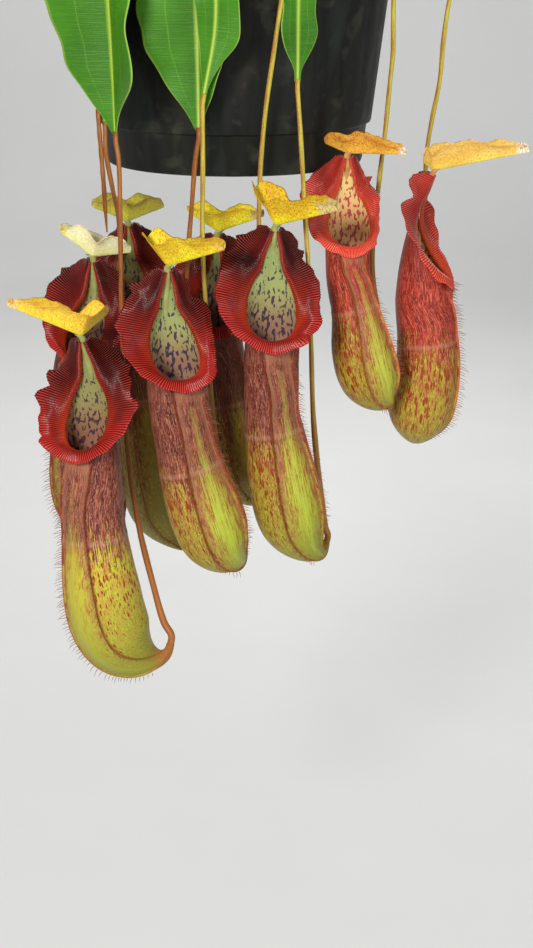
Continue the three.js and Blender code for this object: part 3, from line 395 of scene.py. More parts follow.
class Look:
    """A material whose colour, gloss and relief come from procedural nodes.

    A node's input may be given as a colour's code, and as a range: a value, the ends of the range that it
    is read against, and what they become.
    """

    def __init__(self, name, roughness, specular, metallic=0.0):
        self.material = bpy.data.materials.new(name)
        self.material.use_nodes = True
        self.tree = self.material.node_tree
        self.tree.nodes.clear()
        sockets = {"Roughness": roughness, "Specular IOR Level": specular, "Metallic": metallic}
        self.shader = self.add("BsdfPrincipled", sockets)
        out = self.tree.nodes.new("ShaderNodeOutputMaterial")
        self.tree.links.new(self.shader.outputs[0], out.inputs[0])

    def add(self, kind, inputs, **settings):
        node = self.tree.nodes.new("ShaderNode" + kind)
        for key, value in settings.items():
            setattr(node, key, value)
        return self.fill(node, inputs)

    def fill(self, node, inputs):
        for key, value in inputs.items():
            if isinstance(value, tuple) and isinstance(value[0], bpy.types.NodeSocket):
                value = self.range(*value)
            if isinstance(value, bpy.types.NodeSocket):
                self.tree.links.new(value, node.inputs[key])
            else:
                node.inputs[key].default_value = colour(value) if isinstance(value, str) else value
        return node

    def done(self, base, *reliefs, **sockets):
        """Gives the shader its colour and its reliefs of height, strength and distance, the lowest first."""
        for height, strength, distance in reliefs:
            relief = {"Height": height, "Strength": strength, "Distance": distance}
            if "Normal" in sockets:
                relief["Normal"] = sockets["Normal"]
            sockets["Normal"] = self.add("Bump", relief).outputs[0]
        self.fill(self.shader, {"Base Color": base, **sockets})
        return self.material

    def mapped(self, source, *scale):
        vector = self.add("TexCoord", {}).outputs[source]
        return self.add("Mapping", {"Vector": vector, "Scale": scale}).outputs[0]

    def uv(self, x, y):
        return self.mapped("UV", x, y, 1)

    def place(self, x=1, y=1, z=1):
        return self.mapped("Object", x, y, z)

    def flat(self, n):
        """The place on the map, across (0) or along (1), in decimetres."""
        return self.add("SeparateXYZ", {0: self.uv(1, 1)}).outputs[n]

    def masks(self):
        source = self.add("Attribute", {}, attribute_name="mask").outputs["Color"]
        return self.add("SeparateColor", {0: source}).outputs

    def noise(self, vector, scale, detail=3.0, distortion=0.0):
        inputs = {"Vector": vector, "Scale": scale, "Detail": detail, "Distortion": distortion}
        return self.add("TexNoise", inputs).outputs[0]

    def range(self, value, low, high, to_low=0.0, to_high=1.0):
        return self.add("MapRange", {0: value, 1: low, 2: high, 3: to_low, 4: to_high}).outputs[0]

    def math(self, operation, a, b=0.5):
        return self.add("Math", {0: a, 1: b}, operation=operation).outputs[0]

    def times(self, a, b, *more):
        product = self.math("MULTIPLY", a, b)
        return self.times(product, *more) if more else product

    def layers(self, base, *steps):
        """Lays colours over a base. steps gives the share and the colour of each layer in turn."""
        for share, over in zip(steps[::2], steps[1::2]):
            base = self.add("Mix", {0: share, 6: base, 7: over}, data_type="RGBA").outputs[2]
        return base


def leaf_look():
    look = Look("leaf_green", 0.36, 0.2)
    rib, across, _ = look.masks()
    broad = look.noise(look.place(), 20)
    fine = look.noise(look.uv(14, 60), 6, 4, 0.3)
    bands = look.noise(look.uv(1.5, 32), 3, 2)
    nerve = look.math("ABSOLUTE", look.math("SUBTRACT", across, 0.52))
    green = look.layers(
        "265c06", (broad, 0.32, 0.68), "417f16", (fine, 0.35, 0.7, 0, 0.35), "55931e",
        (bands, 0.5, 0.7, 0, 0.22), "5f9a28", (nerve, 0.004, 0.016, 0.25, 0), "8ab43e",
        (across, 0.94, 0.99, 0, 0.55), "b4d65a", look.times(rib, 0.85), "b4cc4c")
    return look.done(green, (bands, 0.3, 0.001), (fine, 0.2, 0.0006))


def tendril_look(name, warm, pale, fleck):
    look = Look(name, 0.45, 0.3)
    side = look.math("SINE", look.times(look.flat(0), 2 * pi))
    streak = look.noise(look.uv(3, 1.4), 4, 4)
    fine = look.noise(look.uv(8, 5), 8)
    # side makes one side of each tendril warmer and darker all along its length: painted shade.
    tone = look.math("ADD", look.times(side, 0.45), (streak, 0.3, 0.7, -0.4, 0.4))
    base = look.layers(warm, (tone, -0.3, 0.3), pale, (fine, 0.5, 0.75, 0, 0.6), fleck,
                       (look.flat(1), 1.2, 2.6, 0, 0.75), "9c5e2a")
    return look.done(base, (fine, 0.25, 0.0004))


def dashes(look, wide, tall, most):
    """Upright dashes of uneven size, in cells of the given size in millimetres. most sets how many show."""
    warp = look.times(look.noise(look.uv(30, 12), 3, 2), 0.9)
    flat = look.add("VectorMath", {0: look.uv(100 / wide, 100 / tall), 1: warp}).outputs[0]
    cell = look.add("TexVoronoi", {"Vector": flat, "Scale": 1.0}).outputs
    pick = look.add("SeparateColor", {0: cell["Color"]}).outputs[0]
    size = look.times(look.math("POWER", pick, 0.7), most)
    return look.range(look.math("SUBTRACT", size, cell["Distance"]), -0.05, 0.05)


def body_look(name, upper, upper_dark, upper_pale, lower, lower_pale, dash, most, band, foot="828624",
              gold_tone="b8b838", core_share=0.25, upper_edge="9a6448", crest="8a3416"):
    """A cup's outside: streaked above the hip, and dashed on yellow-green below it."""
    look = Look(name, 0.4, 0.24)
    v = look.flat(1)
    wing, strip, end = look.masks()
    streak = look.noise(look.uv(32, 3.4), 3.4, 4, 0.35)
    fine = look.noise(look.uv(52, 10), 4, 3, 0.3)
    patch = look.noise(look.uv(9, 2.6), 3, 3, 0.4)
    tongue = look.noise(look.uv(30, 1.3), 3, 3, 0.3)
    top = look.layers(
        upper, (patch, 0.38, 0.62), upper_dark, (streak, 0.49, 0.58, 0, 0.75), upper_dark,
        (streak, 0.36, 0.46, 0.55, 0), upper_pale, (fine, 0.55, 0.64, 0, 0.6), upper_pale,
        # The last layer darkens the top just below the collar: partly the cup's own colour, partly painted
        # shade under the collar.
        (v, -0.7, -0.48, 0.45, 0), upper_dark)
    share = look.range(v, -0.05, 1.1, most, most * 0.35)
    calm = look.range(strip, 0.4, 1.0, 1.0, 0.35)
    low = look.layers(
        lower, (patch, 0.38, 0.62), lower_pale, (v, 0.25, 0.95, 0, 0.9), foot,
        (fine, 0.52, 0.62, 0, 0.35), "dcd25c", (fine, 0.36, 0.44, 0.45, 0), lower,
        look.times(dashes(look, 1.3, 4.4, share), 0.65, calm), dash,
        look.times(dashes(look, 2.0, 7.2, share), calm), dash)
    gold = look.layers(band, (v, -0.12, 0.2), gold_tone, (v, 0.4, 0.95, 0, 0.85), foot,
                       (streak, 0.5, 0.6, 0, 0.4), "9c6a30")
    wobble = look.math("ADD", v, (tongue, 0.36, 0.64, 0.16, -0.26))
    middle = look.math("ADD", strip, (tongue, 0.36, 0.64, -0.4, 0.4))
    middle = look.math("ADD", middle, (v, -0.05, 0.7, -0.22, 0.2))
    base = look.layers(
        top, (wobble, -0.05, 0.06), low, (look.math("ABSOLUTE", v), 0.006, 0.026, 0.18, 0), "d8a890",
        look.times((middle, 0.75, 1.05), (v, -0.2, 0.15, 0.5, 0.85)), gold,
        look.times((strip, 0.94, 1.0), (streak, 0.42, 0.52), (v, -0.6, 0.1, 0.1, core_share)), gold_tone,
        look.times((strip, 0.02, 0.12), (strip, 0.35, 0.85, 1, 0), (v, 0.1, 0.95, 0.75, 0.05)), upper_edge,
        look.times(wing, 0.9), crest,
        look.times(end, 0.9), look.layers("8c4a20", (fine, 0.4, 0.6), "ac6a30"))
    return look.done(base, (fine, 0.4, 0.0006), (streak, 0.35, 0.0008))


def inside_look(name, ground, deep, blotch, low):
    look = Look(name, 0.45, 0.25)
    v = look.flat(1)
    waxy = look.noise(look.uv(12, 10), 4, 4)
    spots = look.math("ADD", look.noise(look.uv(9.2, 6.6), 3.0, 1.5, 0.3), (v, -1.3, -0.85, -0.07, 0.03))
    base = look.layers(
        deep, (v, -1.25, -0.85), ground, (waxy, 0.35, 0.65, 0, 0.5), ground, (v, -1.0, -0.72, 0, 0.85), low,
        # After the blotches the wall is darkened deeper into the cup: painted shade.
        look.times((spots, 0.562, 0.584), 0.92), blotch, (v, -0.62, -0.1, 0, 0.6), "5d3a3a")
    return look.done(base, (waxy, 0.15, 0.0006))


def collar_look(name, deep, red, bright, painted_highlight):
    look = Look(name, 0.24, 0.2)
    rib, across, up = look.masks()
    patch = look.noise(look.place(), 42)
    orange = look.times((across, 0.04, 0.58, 1, 0), (up, 0.42, 0.7, 1, 0.1))
    return look.done(look.layers(
        red, look.math("MAXIMUM", orange, (across, 0.06, 0.16, 0.7, 0)), bright,
        look.times((up, 0.28, 0.68), (across, 0.04, 0.2, 0.2, 1), (patch, 0.3, 0.6, 0.7, 1.0)), deep,
        look.times((across, 0.3, 0.5), (across, 0.62, 0.85, 1, 0), (patch, 0.4, 0.6, 0.05, 0.4)), deep,
        # The rib valleys are darkened with the deep colour: painted shade in the grooves.
        (rib, 0.0, 0.6, 0.8, 0.0), deep,
        # The rib crests are lightened towards the outer edge: painted highlight.
        look.times((rib, 0.7, 1.0), (across, 0.35, 0.9, 0.12, 0.5)), painted_highlight))


def lid_look(name, yellow, shade, speck, amount, keel_tone, tip, tip_from=0.9):
    """A lid: speckled, brighter beside its keel and of another colour at its tip."""
    look = Look(name, 0.4, 0.22)
    _, across, along = look.masks()
    broad = look.noise(look.place(), 55)
    specks = look.noise(look.uv(2.4, 3), 6, 3, 0.6)
    veins = look.add("TexVoronoi", {"Vector": look.uv(2.6, 3.4), "Scale": 2}, feature="DISTANCE_TO_EDGE")
    net = look.range(veins.outputs["Distance"], 0.0, 0.07, 1, 0)
    base = look.layers(
        yellow, (broad, 0.38, 0.66), shade,
        look.times((across, 0.04, 0.55, 0.85, 0), (broad, 0.3, 0.6, 1, 0.4)), keel_tone,
        look.times((specks, 0.53, 0.6, 0, amount), (across, 0.0, 0.5, 0.45, 1)), speck,
        look.times(net, amount * 0.4), speck,
        (along, tip_from - 0.06, tip_from), look.layers(tip, net, speck),
        (across, 0.9, 1.0, 0, 0.5), speck)
    return look.done(base, (net, 0.4, 0.0006), (specks, 0.35, 0.0008))


def pot_look():
    look = Look("pot_plastic", 0.5, 0.22)
    streak = look.noise(look.place(75, 75, 4), 1, 5)
    # The second noise paints greenish upright streaks, a painted reflection, and brownish patches of dirt.
    reflection_and_dirt = look.noise(look.place(30, 30, 9), 1, 3, 0.4)
    dust = look.noise(look.place(), 60, 5, 0.4)
    base = look.layers(
        "0a0b0a", (streak, 0.35, 0.65), "191b16", (reflection_and_dirt, 0.54, 0.68, 0, 0.6), "2b352e",
        (reflection_and_dirt, 0.3, 0.42, 0.45, 0), "322e1c", (dust, 0.54, 0.72, 0, 0.35), "4a4c3e")
    return look.done(base, (streak, 0.25, 0.0008), Roughness=(dust, 0.3, 0.7, 0.42, 0.62))


def plain_look(name, pale, dark, scale, roughness, depth=0.2, metallic=0.0):
    look = Look(name, roughness, 0.3, metallic)
    grain = look.noise(look.place(), scale, 5, 0.3)
    return look.done(look.layers(dark, (grain, 0.3, 0.7), pale), (grain, depth, 0.0008))


# Pitchers

def mouth_frame(p):
    lean = radians(p.lean)
    up = np.array([sin(lean), 0, cos(lean)])
    front = squared(facing_vector(p.facing), up)
    return front, np.cross(up, front), up


def place_in_mouth(p, local):
    """Points of the mouth's frame (front, side, up), in the plant."""
    return np.array(p.axis[0]) + local @ np.array(mouth_frame(p))


RIM = Path(RIM_POINTS + [NECK_TOP] + [(f, -s, z) for f, s, z in RIM_POINTS[:0:-1]], closed=True)


def rim_local(p, share, side):
    """The inner rim, at a share of the way from lip (0) to neck (1) on one side, in the mouth's frame."""
    q = RIM.by_point(share * len(RIM_POINTS))
    return np.stack([q[..., 0], q[..., 1] * side * p.spread, q[..., 2]], -1) * p.mouth


def body_radius(p, t):
    upper = mix(p.waist, p.belly, profile(UPPER_SWELL, t))
    return np.where(t <= 0.66, upper, p.belly * profile(LOWER_TAPER, t))


def wing_angle(t):
    return mix(WING_ANGLE_MOUTH, WING_ANGLE_BELLY, min(1, t * 1.6))


HALF_ROUND = np.r_[np.linspace(0, 1, 6), np.linspace(1, 3, 19)[1:], np.linspace(3, 8, 22)[1:]]
COLUMNS = np.r_[HALF_ROUND, HALF_ROUND[-2:0:-1]]
COLUMN_SIDES = np.where(np.arange(len(COLUMNS)) < len(HALF_ROUND), 1, -1)
CREST, CREST_FOOT = (np.exp(-(((COLUMNS - 2) / width) ** 2)) for width in (0.4, 0.95))


def column_angles(t):
    wing = wing_angle(t)
    stops = [0, wing - WING_HALF_WIDTH, wing, wing + WING_HALF_WIDTH, 66, 95, 125, 153, 180]
    return profile([*enumerate(stops)], COLUMNS) * COLUMN_SIDES


def body_frame(p, path, t):
    """Centre, front and side of the body at a share of its axis. It turns from the mouth to the wings."""
    up = -path.along(t)
    turn = turn_between(p.facing, p.wings) * smooth(t / 0.25)
    front = squared(facing_vector(p.facing + turn), up)
    return path.at(t), front, np.cross(up, front)


def body_ring(p, path, t, inset=0):
    """A ring of the body's outside, with wings and hip, or of its inside where it is inset."""
    centre, front, side = body_frame(p, path, t)
    reach = body_radius(p, t) - inset
    if not inset:
        reach += HIP_RISE * exp(-(((t * path.length - p.hip) / 2) ** 2))
        reach = reach + WING_RISE * smooth((1.0 - t) / 0.12) * (0.72 * CREST + 0.28 * CREST_FOOT)
    angle = np.radians(column_angles(t))
    return centre + np.outer(reach * np.cos(angle), front) + np.outer(reach * np.sin(angle), side)


def rim_ring(p, outset):
    share = profile([*enumerate(RIM_CORNERS)], COLUMNS)
    local = rim_local(p, share, COLUMN_SIDES)
    local[:, 0] += outset * np.cos(share * pi)
    local[:, 1] += outset * np.sin(share * pi) * COLUMN_SIDES
    return place_in_mouth(p, local)


def make_body(index, p, outside, inside, slot):
    path = Path(p.axis)
    path.SPAN = 0.045
    top = SHOULDER * path.length
    rows = []

    def shoulder(inset, shares):
        """Rings between the body's top and the rim. They start level and end on the rim's slope."""
        _, _, up = mouth_frame(p)
        low, high = body_ring(p, path, SHOULDER, inset), rim_ring(p, WALL - inset)
        for share in shares:
            level = mix(low, high, share ** 2.2)
            ring = level + np.outer((mix(low, high, share) - level) @ up, up)
            rows.append((ring, top - share * 40, inset > 0, 0 if inset else 1 - share, 0))

    for t in 1 - (1 - SHOULDER) * np.linspace(0, 1, 112) ** 1.15:
        ridge, end = smooth((1.0 - t) / 0.08), smooth((t - 0.86) / 0.1)
        rows.append((body_ring(p, path, t), t * path.length, 0, ridge, end))
    shoulder(0, np.linspace(0, 1, 22)[1:])
    shoulder(WALL, np.linspace(1, 0, 16))
    for t in np.linspace(SHOULDER, CAVITY_END, 22)[1:]:
        rows.append((body_ring(p, path, t, WALL), t * path.length, 1, 0, 0))
    rings, depth, inner, ridges, ends = (np.array(column, float) for column in zip(*rows))
    outer = rings[:EVENED_RINGS]
    for _ in range(EVENING_PASSES):
        outer[1:-1] = 0.5 * outer[1:-1] + 0.25 * (outer[:-2] + outer[2:])
    height = rings[..., 2] - p.axis[0][2]
    angle = np.r_[column_angles(0.4), 360]
    angle[len(HALF_ROUND):-1] += 360
    around = np.radians(angle) * (p.waist + p.belly) / 2
    v = np.where(height > -top, -height, depth[:, None]) - p.hip
    v = np.concatenate([v, v[:, :1]], axis=1)
    uv = np.stack([np.broadcast_to(around, v.shape), v], -1) / 100
    between = smooth(1 - COLUMNS / 1.7) * (COLUMNS < 1.9)
    hooked = ends * HOOK_BROWN[index - 1]
    mask = [np.outer(ridges, CREST), np.outer(ridges * (inner == 0), between),
            np.outer(hooked, np.ones(len(COLUMNS)))]
    obj = grid_object(f"cup_{index}", rings, uv, np.stack(mask, -1), inner[1:].astype(int))
    dress(obj, slot, outside, inside, node=f"pitcher_{index}")


def collar_section(reach, droop, leg, lift):
    """The collar's section from its inner teeth over the roll to the outer edge and back beneath."""
    top = Path([(-1.9, -leg, 0), (-2.4, 0.4, 0), (-1.2, 2.5, 0), (1.6, 3.2, 0), (0.32 * reach + 1, 3.4, 0),
                (0.62 * reach, lift, 0), (reach - 0.7, mix(lift, droop, 0.8), 0), (reach, droop, 0)])
    under = Path([(reach - 0.9, droop - 0.5, 0), (0.62 * reach, lift - 1.5, 0),
                  (2.6, 1.6, 0), (-0.6, 0.7, 0)])
    return np.vstack([top.at(COLLAR_TOP)[:, :2], under.at(COLLAR_UNDER)[:, :2]])


def make_collar(index, p, material):
    rings, masks = [], []
    ridged = slice(0, len(COLLAR_TOP))
    for step in range(-2 * COLLAR_RIBS, 2 * COLLAR_RIBS + 1):
        turn = step / (2 * COLLAR_RIBS)
        side = -1 if turn < 0 else 1
        share = COLLAR_END * abs(turn)
        early = min(1, share * 3)
        base = rim_local(p, share, side)
        along = np.array([0.0, 1.0, 0.0])
        if share:
            ahead, behind = min(share + 0.01, 0.995), max(share - 0.01, 0)
            along = unit(rim_local(p, ahead, side) - rim_local(p, behind, side))
        out = squared(np.array([cos(share * pi), side * sin(share * pi), 0.0]), along)
        face = np.cross(out, along) * side
        corner = np.interp(share, RIM_CORNERS, range(len(RIM_CORNERS))) * 2 * side
        uneven = 1 + 0.03 * sin(corner * 1.7 + p.phase) + 0.02 * sin(corner * 5.3 + 2 * p.phase)
        beyond = np.interp(share * 100, *np.array(MARGINS[index - 1][side > 0]).T)
        beyond *= 1 - smooth((share - 0.9) / 0.06)
        reach = profile(COLLAR_WIDTHS, share) * uneven * mix(1, p.flare, early) + beyond
        ruffle = 0.9 * sin(corner * 2.6 + p.phase * 3) * early
        where, curl = CURLS.get(index, ((0, 0), (0, 0)))[side > 0]
        curl *= exp(-(((share - where) / 0.13) ** 2))
        droop = mix(-5, 2.5, min(1, share * 2.2)) + ruffle + 0.3 * max(0, beyond) + curl
        leg = mix(2.6, 0.4, min(1, max(0, (share - 0.15) / 0.25)))
        section = collar_section(reach, droop, leg, mix(2.2, 4, min(1, share * 2)))
        section[:4, 0] -= INNER_REACH_MOST * exp(-(((share - 0.66) / 0.1) ** 2)) * np.array([1, 1, 0.8, 0.4])
        rib = 0.5 + 0.5 * cos(turn * COLLAR_RIBS * pi)
        slope = unit(np.gradient(section[ridged], axis=0))
        height = COLLAR_RIB_HEIGHT * (rib ** 1.3 - 0.45)
        height *= np.interp(COLLAR_TOP, [0, 0.1, 0.85, 1], [0.9, 1, 0.9, 0.25])
        section[ridged] += np.stack([-slope[:, 1], slope[:, 0]], -1) * height[:, None]
        section[:2, 1] -= 0.5 * rib
        section[len(COLLAR_TOP) - 1, 0] += 0.55 * rib
        rings.append(place_in_mouth(p, base + section @ np.array([out, face])))
        across = np.r_[COLLAR_TOP, np.linspace(1, 0.3, len(COLLAR_UNDER))]
        masks.append(np.stack([across * 0 + rib, across, across * 0 + share], -1))
    obj = grid_object(f"collar_{index}", rings, mask=masks)
    dress(obj, "peristome", material, node=f"peristome_{index}")


def make_lid(index, p, material, slot):
    neck = place_in_mouth(p, np.array(NECK_TOP) * p.mouth)
    up = np.array([0.0, 0.0, 1.0])
    w = np.linspace(1, -1, 37)
    rows = []
    for t in np.r_[-(np.linspace(1, 0, 26) ** 0.8), np.linspace(0, 1, 56)[1:]]:
        reach = (p.lid_base if t < 0 else p.lid_length) * t
        lift = (-p.lid_lobe if t < 0 else p.lid_rise) * t + LID_THICKNESS + 2 * SEAT_GAP
        full = profile(LID_OUTLINE, t) * (1 + 0.05 * sin(reach / 3.4 + p.phase))
        half = p.lid_half * full
        wave = 1.6 * w * w * np.sin(7 * t + (index - 1) + w)
        ruffle = np.abs(w) ** 3 * (0.9 * np.sin(reach / 4.2 + 2.3 * p.phase + 1.5 * np.sign(w))
                                   + 0.35 * np.sin(reach / 1.5 + index * w))
        away = np.sqrt(w * w + 0.02) - 0.141
        height = lift + away * half * (LID_STEEPNESS - LID_FLARE * away) + (wave + ruffle) * full
        centre = neck + facing_vector(p.lid_facing, reach)
        top = centre + np.outer(w * half * 0.75, facing_vector(p.lid_facing + 90)) + np.outer(height, up)
        keel = np.exp(-((w * half / 1.3) ** 2))
        low = top - np.outer(0.75 + 0.35 * keel, up)
        rows.append((top, low, keel, max(t, 0), half / 20, reach / 20))
    dress(blade_object(f"lid_blade_{index}", w, rows), slot, material, node=f"lid_{index}")


def make_neck(index, p, material):
    """The flat column between the collar's upper flanks, which carries the lid."""
    places = np.array([(-15, 0, 39), (-12.3, 0, 48), (-9, 0, 57.5), (-5.6, 0, 66), (-1.8, 0, 74), NECK_TOP])
    column = [*place_in_mouth(p, places * p.mouth)]
    column.append(column[-1] + facing_vector(p.lid_facing, 2.5, LID_THICKNESS + 1.2))
    share = np.linspace(0, 1, 26)
    front, side, _ = mouth_frame(p)
    wide = profile([(0, 1.5), (0.3, 2.2), (0.6, 2.4), (0.85, 2.4), (1, 3)], share)
    deep = profile([(0, 0.3), (0.3, 0.9), (0.6, 1.3), (0.85, 1.9), (1, 2.4)], share)
    rings = [[c + cos(angle) * a * side + sin(angle) * b * front for angle in circle(20)]
             for c, a, b in zip(Path(column).at(share), wide, deep)]
    dress(grid_object(f"neck_{index}", rings), "pitcher", material)


def make_spur(index, p, material):
    """The short spur behind the neck, below the lid."""
    front, _, up = mouth_frame(p)
    foot = place_in_mouth(p, np.array(NECK_TOP) * p.mouth) - front * 2 - up * 2.5
    points = [foot + (-front * 0.9 + up * 0.35) * s for s in np.linspace(0, 7, 8)]
    dress(tube(f"spur_{index}", points, np.linspace(0.9, 0.25, 8), 8), "tendril", material)


def make_fringe(index, p, material):
    """Fine hairs along the crests of both wings."""
    rng = random.Random(index)
    path = Path(p.axis)
    hairs = []
    for side in (1, -1):
        distance = 0.02 * path.length
        while distance < 0.9 * path.length:
            t = distance / path.length
            centre, front, across = body_frame(p, path, t)
            down = path.along(t)
            angle = radians(wing_angle(t)) * side
            out = cos(angle) * front + sin(angle) * across
            flat = np.cross(out, down)
            root = centre + out * (body_radius(p, t) + WING_RISE * 0.7)
            splay = flat * rng.uniform(-0.45, 0.45) + down * rng.uniform(-0.25, 0.35)
            length = rng.uniform(4, 8) * (0.45 + 0.55 * smooth((0.95 - t) / 0.4))
            hair = []
            for place, radius in ((0, 0.3), (0.4, 0.24), (0.75, 0.16), (1, 0.05)):
                middle = root + ((out + splay * place) * place - np.array([0, 0, 0.25 * place**2])) * length
                hair.append([middle + radius * (cos(a) * flat - sin(a) * down) for a in circle(3)])
            hairs.append(hair)
            distance += rng.uniform(1.2, 2.2)
    dress(bars(f"fringe_{index}", hairs), "pitcher", material)


# Leaves and tendrils

def leaf_path(leaf):
    start, _, base, peak, rim_r, _, _, tip, sway, _ = leaf
    x, y, tip_z = tip
    turn, tip_r = turn_between(start, degrees(atan2(x, -y))), hypot(x, y)

    def at(r, z, share, push=0.0):
        return facing_vector(start + turn * share, r, z) + [push, 0, 0]

    return Path([
        at(STEM_R + 0.2, base, 0), at(30, mix(base, peak, 0.6), 0.05), at(72, peak, 0.3),
        at(112, peak - 12, 0.6),
        at(rim_r - 1, mix(peak, POT_RIM_Z, 0.72), 0.85, sway),
        at(mix(rim_r, tip_r, 0.3), mix(POT_RIM_Z, tip_z, 0.2), 0.95, sway),
        at(mix(rim_r, tip_r, 0.8), mix(POT_RIM_Z, tip_z, 0.65), 1, sway), tip,
    ])


def make_leaf(index, leaf, material):
    start, face, _, _, _, half_width, fold_angle, tip, _, right = leaf
    path = leaf_path(leaf)
    tip_facing = degrees(atan2(tip[0], -tip[1]))
    turn, face_turn = turn_between(start, tip_facing), turn_between(tip_facing, face)
    seen = index <= len(PITCHERS)
    w = np.linspace(1, -1, 29 if seen else 21)
    away, hand = np.abs(w), np.sign(w)
    full_at, full_long, full_left, full_right = LEAF_FULL.get(index, (0.9, 0.05, 0, 0))
    rows = []
    for t in np.linspace(0, 1, 110 if seen else 72):
        centre, along = path.at(t), path.along(t)
        side = squared(facing_vector(start + turn * min(1, t * 1.2) + face_turn * t * t + 90), along)
        half = max(LEAF_TIP_HALF, half_width * profile(LEAF_OUTLINE, t))
        size = half / half_width
        fold = radians(fold_angle) * min(1, t * 3)
        full = exp(-(((t - full_at) / full_long) ** 2))
        edge = 1 + 0.02 * np.sin(t * 75 + 2.2 * hand + index)
        wide = half * edge * np.where(w > 0, right * (1 + full_right * full), 1 + full_left * full)
        rib = np.exp(-((w * wide / mix(1.5, 0.9, t)) ** 2))
        lift = away * wide * sin(fold) * (1 - 0.25 * (away - 1))
        lift += size * (LEAF_WAVE * sin(t * LEAF_STEPS * 2.1 + index - 1) * hand * away ** 1.4
                        + 0.9 * away ** 3 * np.sin(t * 61 + 1.9 * index + 2 * hand))
        flat = centre + np.outer(w * wide * cos(fold), side)
        veins = 0.07 * np.cos(w * wide * 1.1) * size
        normal = np.cross(along, side)
        top = flat + np.outer(lift + 0.35 * rib + veins, normal)
        low = flat + np.outer(lift - LEAF_THICKNESS * mix(1, 0.8, 1 - size) - LEAF_KEEL * rib, normal)
        rows.append((top, low, rib, t, half / 100, t * path.length / 100))
    dress(blade_object(f"blade_{index}", w, rows), "leaf", material, node=f"leaf_{index}")


def make_tendril(index, route, material):
    leaving = leaf_path(LEAVES[index - 1]).along(1.0)
    start = np.array(route[0]) - leaving * 2
    points = [start + leaving * 7, *np.array(route[1:], float)]
    fed = index <= len(PITCHERS)
    if fed:
        axis = Path(PITCHERS[index - 1].axis)
        last, meeting = axis.at(1.0), axis.along(1.0)
        points += [last + unit(0.75 * meeting + 0.25 * unit(points[-1] - last)) * 6, last - meeting * 3]
    stations = np.vstack([[start], Path(points).at(np.linspace(0, 1, 180))])
    place = np.linspace(0, 1, len(stations))
    grown, begin, over = (1.55, 0.55, 0.42) if fed else (0.35, 0.7, 0.3)
    radii = TENDRIL_R * mix(1.0, grown, smooth((place - begin) / over))
    radii *= 1 + 0.06 * np.sin(place * 40 + index)
    dress(tube(f"tendril_line_{index}", stations, radii), "tendril", material, node=f"tendril_{index}")


# Pot, soil, stem and hanger

def pot_radius(z):
    return mix(POT_BASE_R, POT_TOP_R, (z - POT_BASE_Z) / (POT_RIM_Z - POT_BASE_Z))


def make_pot(material):
    base, lip, rim = POT_BASE_Z, POT_RIM_Z - POT_LIP_H, POT_RIM_Z
    foot_r, below_r, top_r, lip_r = POT_BASE_R, pot_radius(POT_STEP_Z), POT_TOP_R, POT_LIP_R
    step_r, floor = below_r + POT_STEP_IN, base + POT_WALL + 1
    stops = [(0.01, base), (foot_r - 3, base), (foot_r - 0.9, base + 0.7), (foot_r, base + 3),
             (below_r - 0.9, POT_STEP_Z - 0.8), (below_r - 0.3, POT_STEP_Z), (step_r - 0.6, POT_STEP_Z + 0.7),
             (step_r, POT_STEP_Z + 2)]
    wall_start = len(stops) - 1
    for share in np.linspace(0, 1, 14)[1:-1]:
        stops.append((mix(step_r, top_r, share), mix(POT_STEP_Z + 2, lip, share)))
    ribbed = slice(wall_start, len(stops))
    stops += [(top_r, lip - 0.6), (top_r + 0.6, lip), (lip_r - 0.7, lip), (lip_r, lip + 0.7),
              (lip_r, rim - 2), (lip_r - 0.7, rim - 0.5), (lip_r - 2, rim), (top_r + 1, rim),
              (top_r - POT_WALL + 1, lip + 3), (top_r - POT_WALL, lip - 4),
              (step_r - POT_WALL, POT_STEP_Z + 4), (foot_r - POT_WALL, floor + 2),
              (foot_r - POT_WALL - 2, floor), (0.01, floor)]
    rings = lathe_rings(stops, POT_SIDES)
    x, y = rings[ribbed, :, 0], rings[ribbed, :, 1]
    groove = POT_RIB_DEPTH * np.clip(np.cos(np.arctan2(y, x) * POT_RIBS) * 4 - 3, 0, 1)
    rings[ribbed, :, :2] *= (1 - groove / np.hypot(x, y))[..., None]
    obj = grid_object("pot_shell", rings)
    for a in circle(DRAIN_COUNT):
        middle = np.array([DRAIN_RING_R * cos(a), DRAIN_RING_R * sin(a), base]) * MM
        bpy.ops.mesh.primitive_cylinder_add(vertices=32, radius=DRAIN_R * MM, depth=0.02, location=middle)
        drill = bpy.context.object
        cut = obj.modifiers.new("cut", "BOOLEAN")
        cut.operation, cut.solver, cut.object = "DIFFERENCE", "EXACT", drill
        with bpy.context.temp_override(object=obj, active_object=obj):
            bpy.ops.object.modifier_apply(modifier=cut.name)
        bpy.data.objects.remove(drill)
    obj.data.set_sharp_from_angle(angle=radians(40))
    dress(obj, "pot_plastic", material, node="pot")


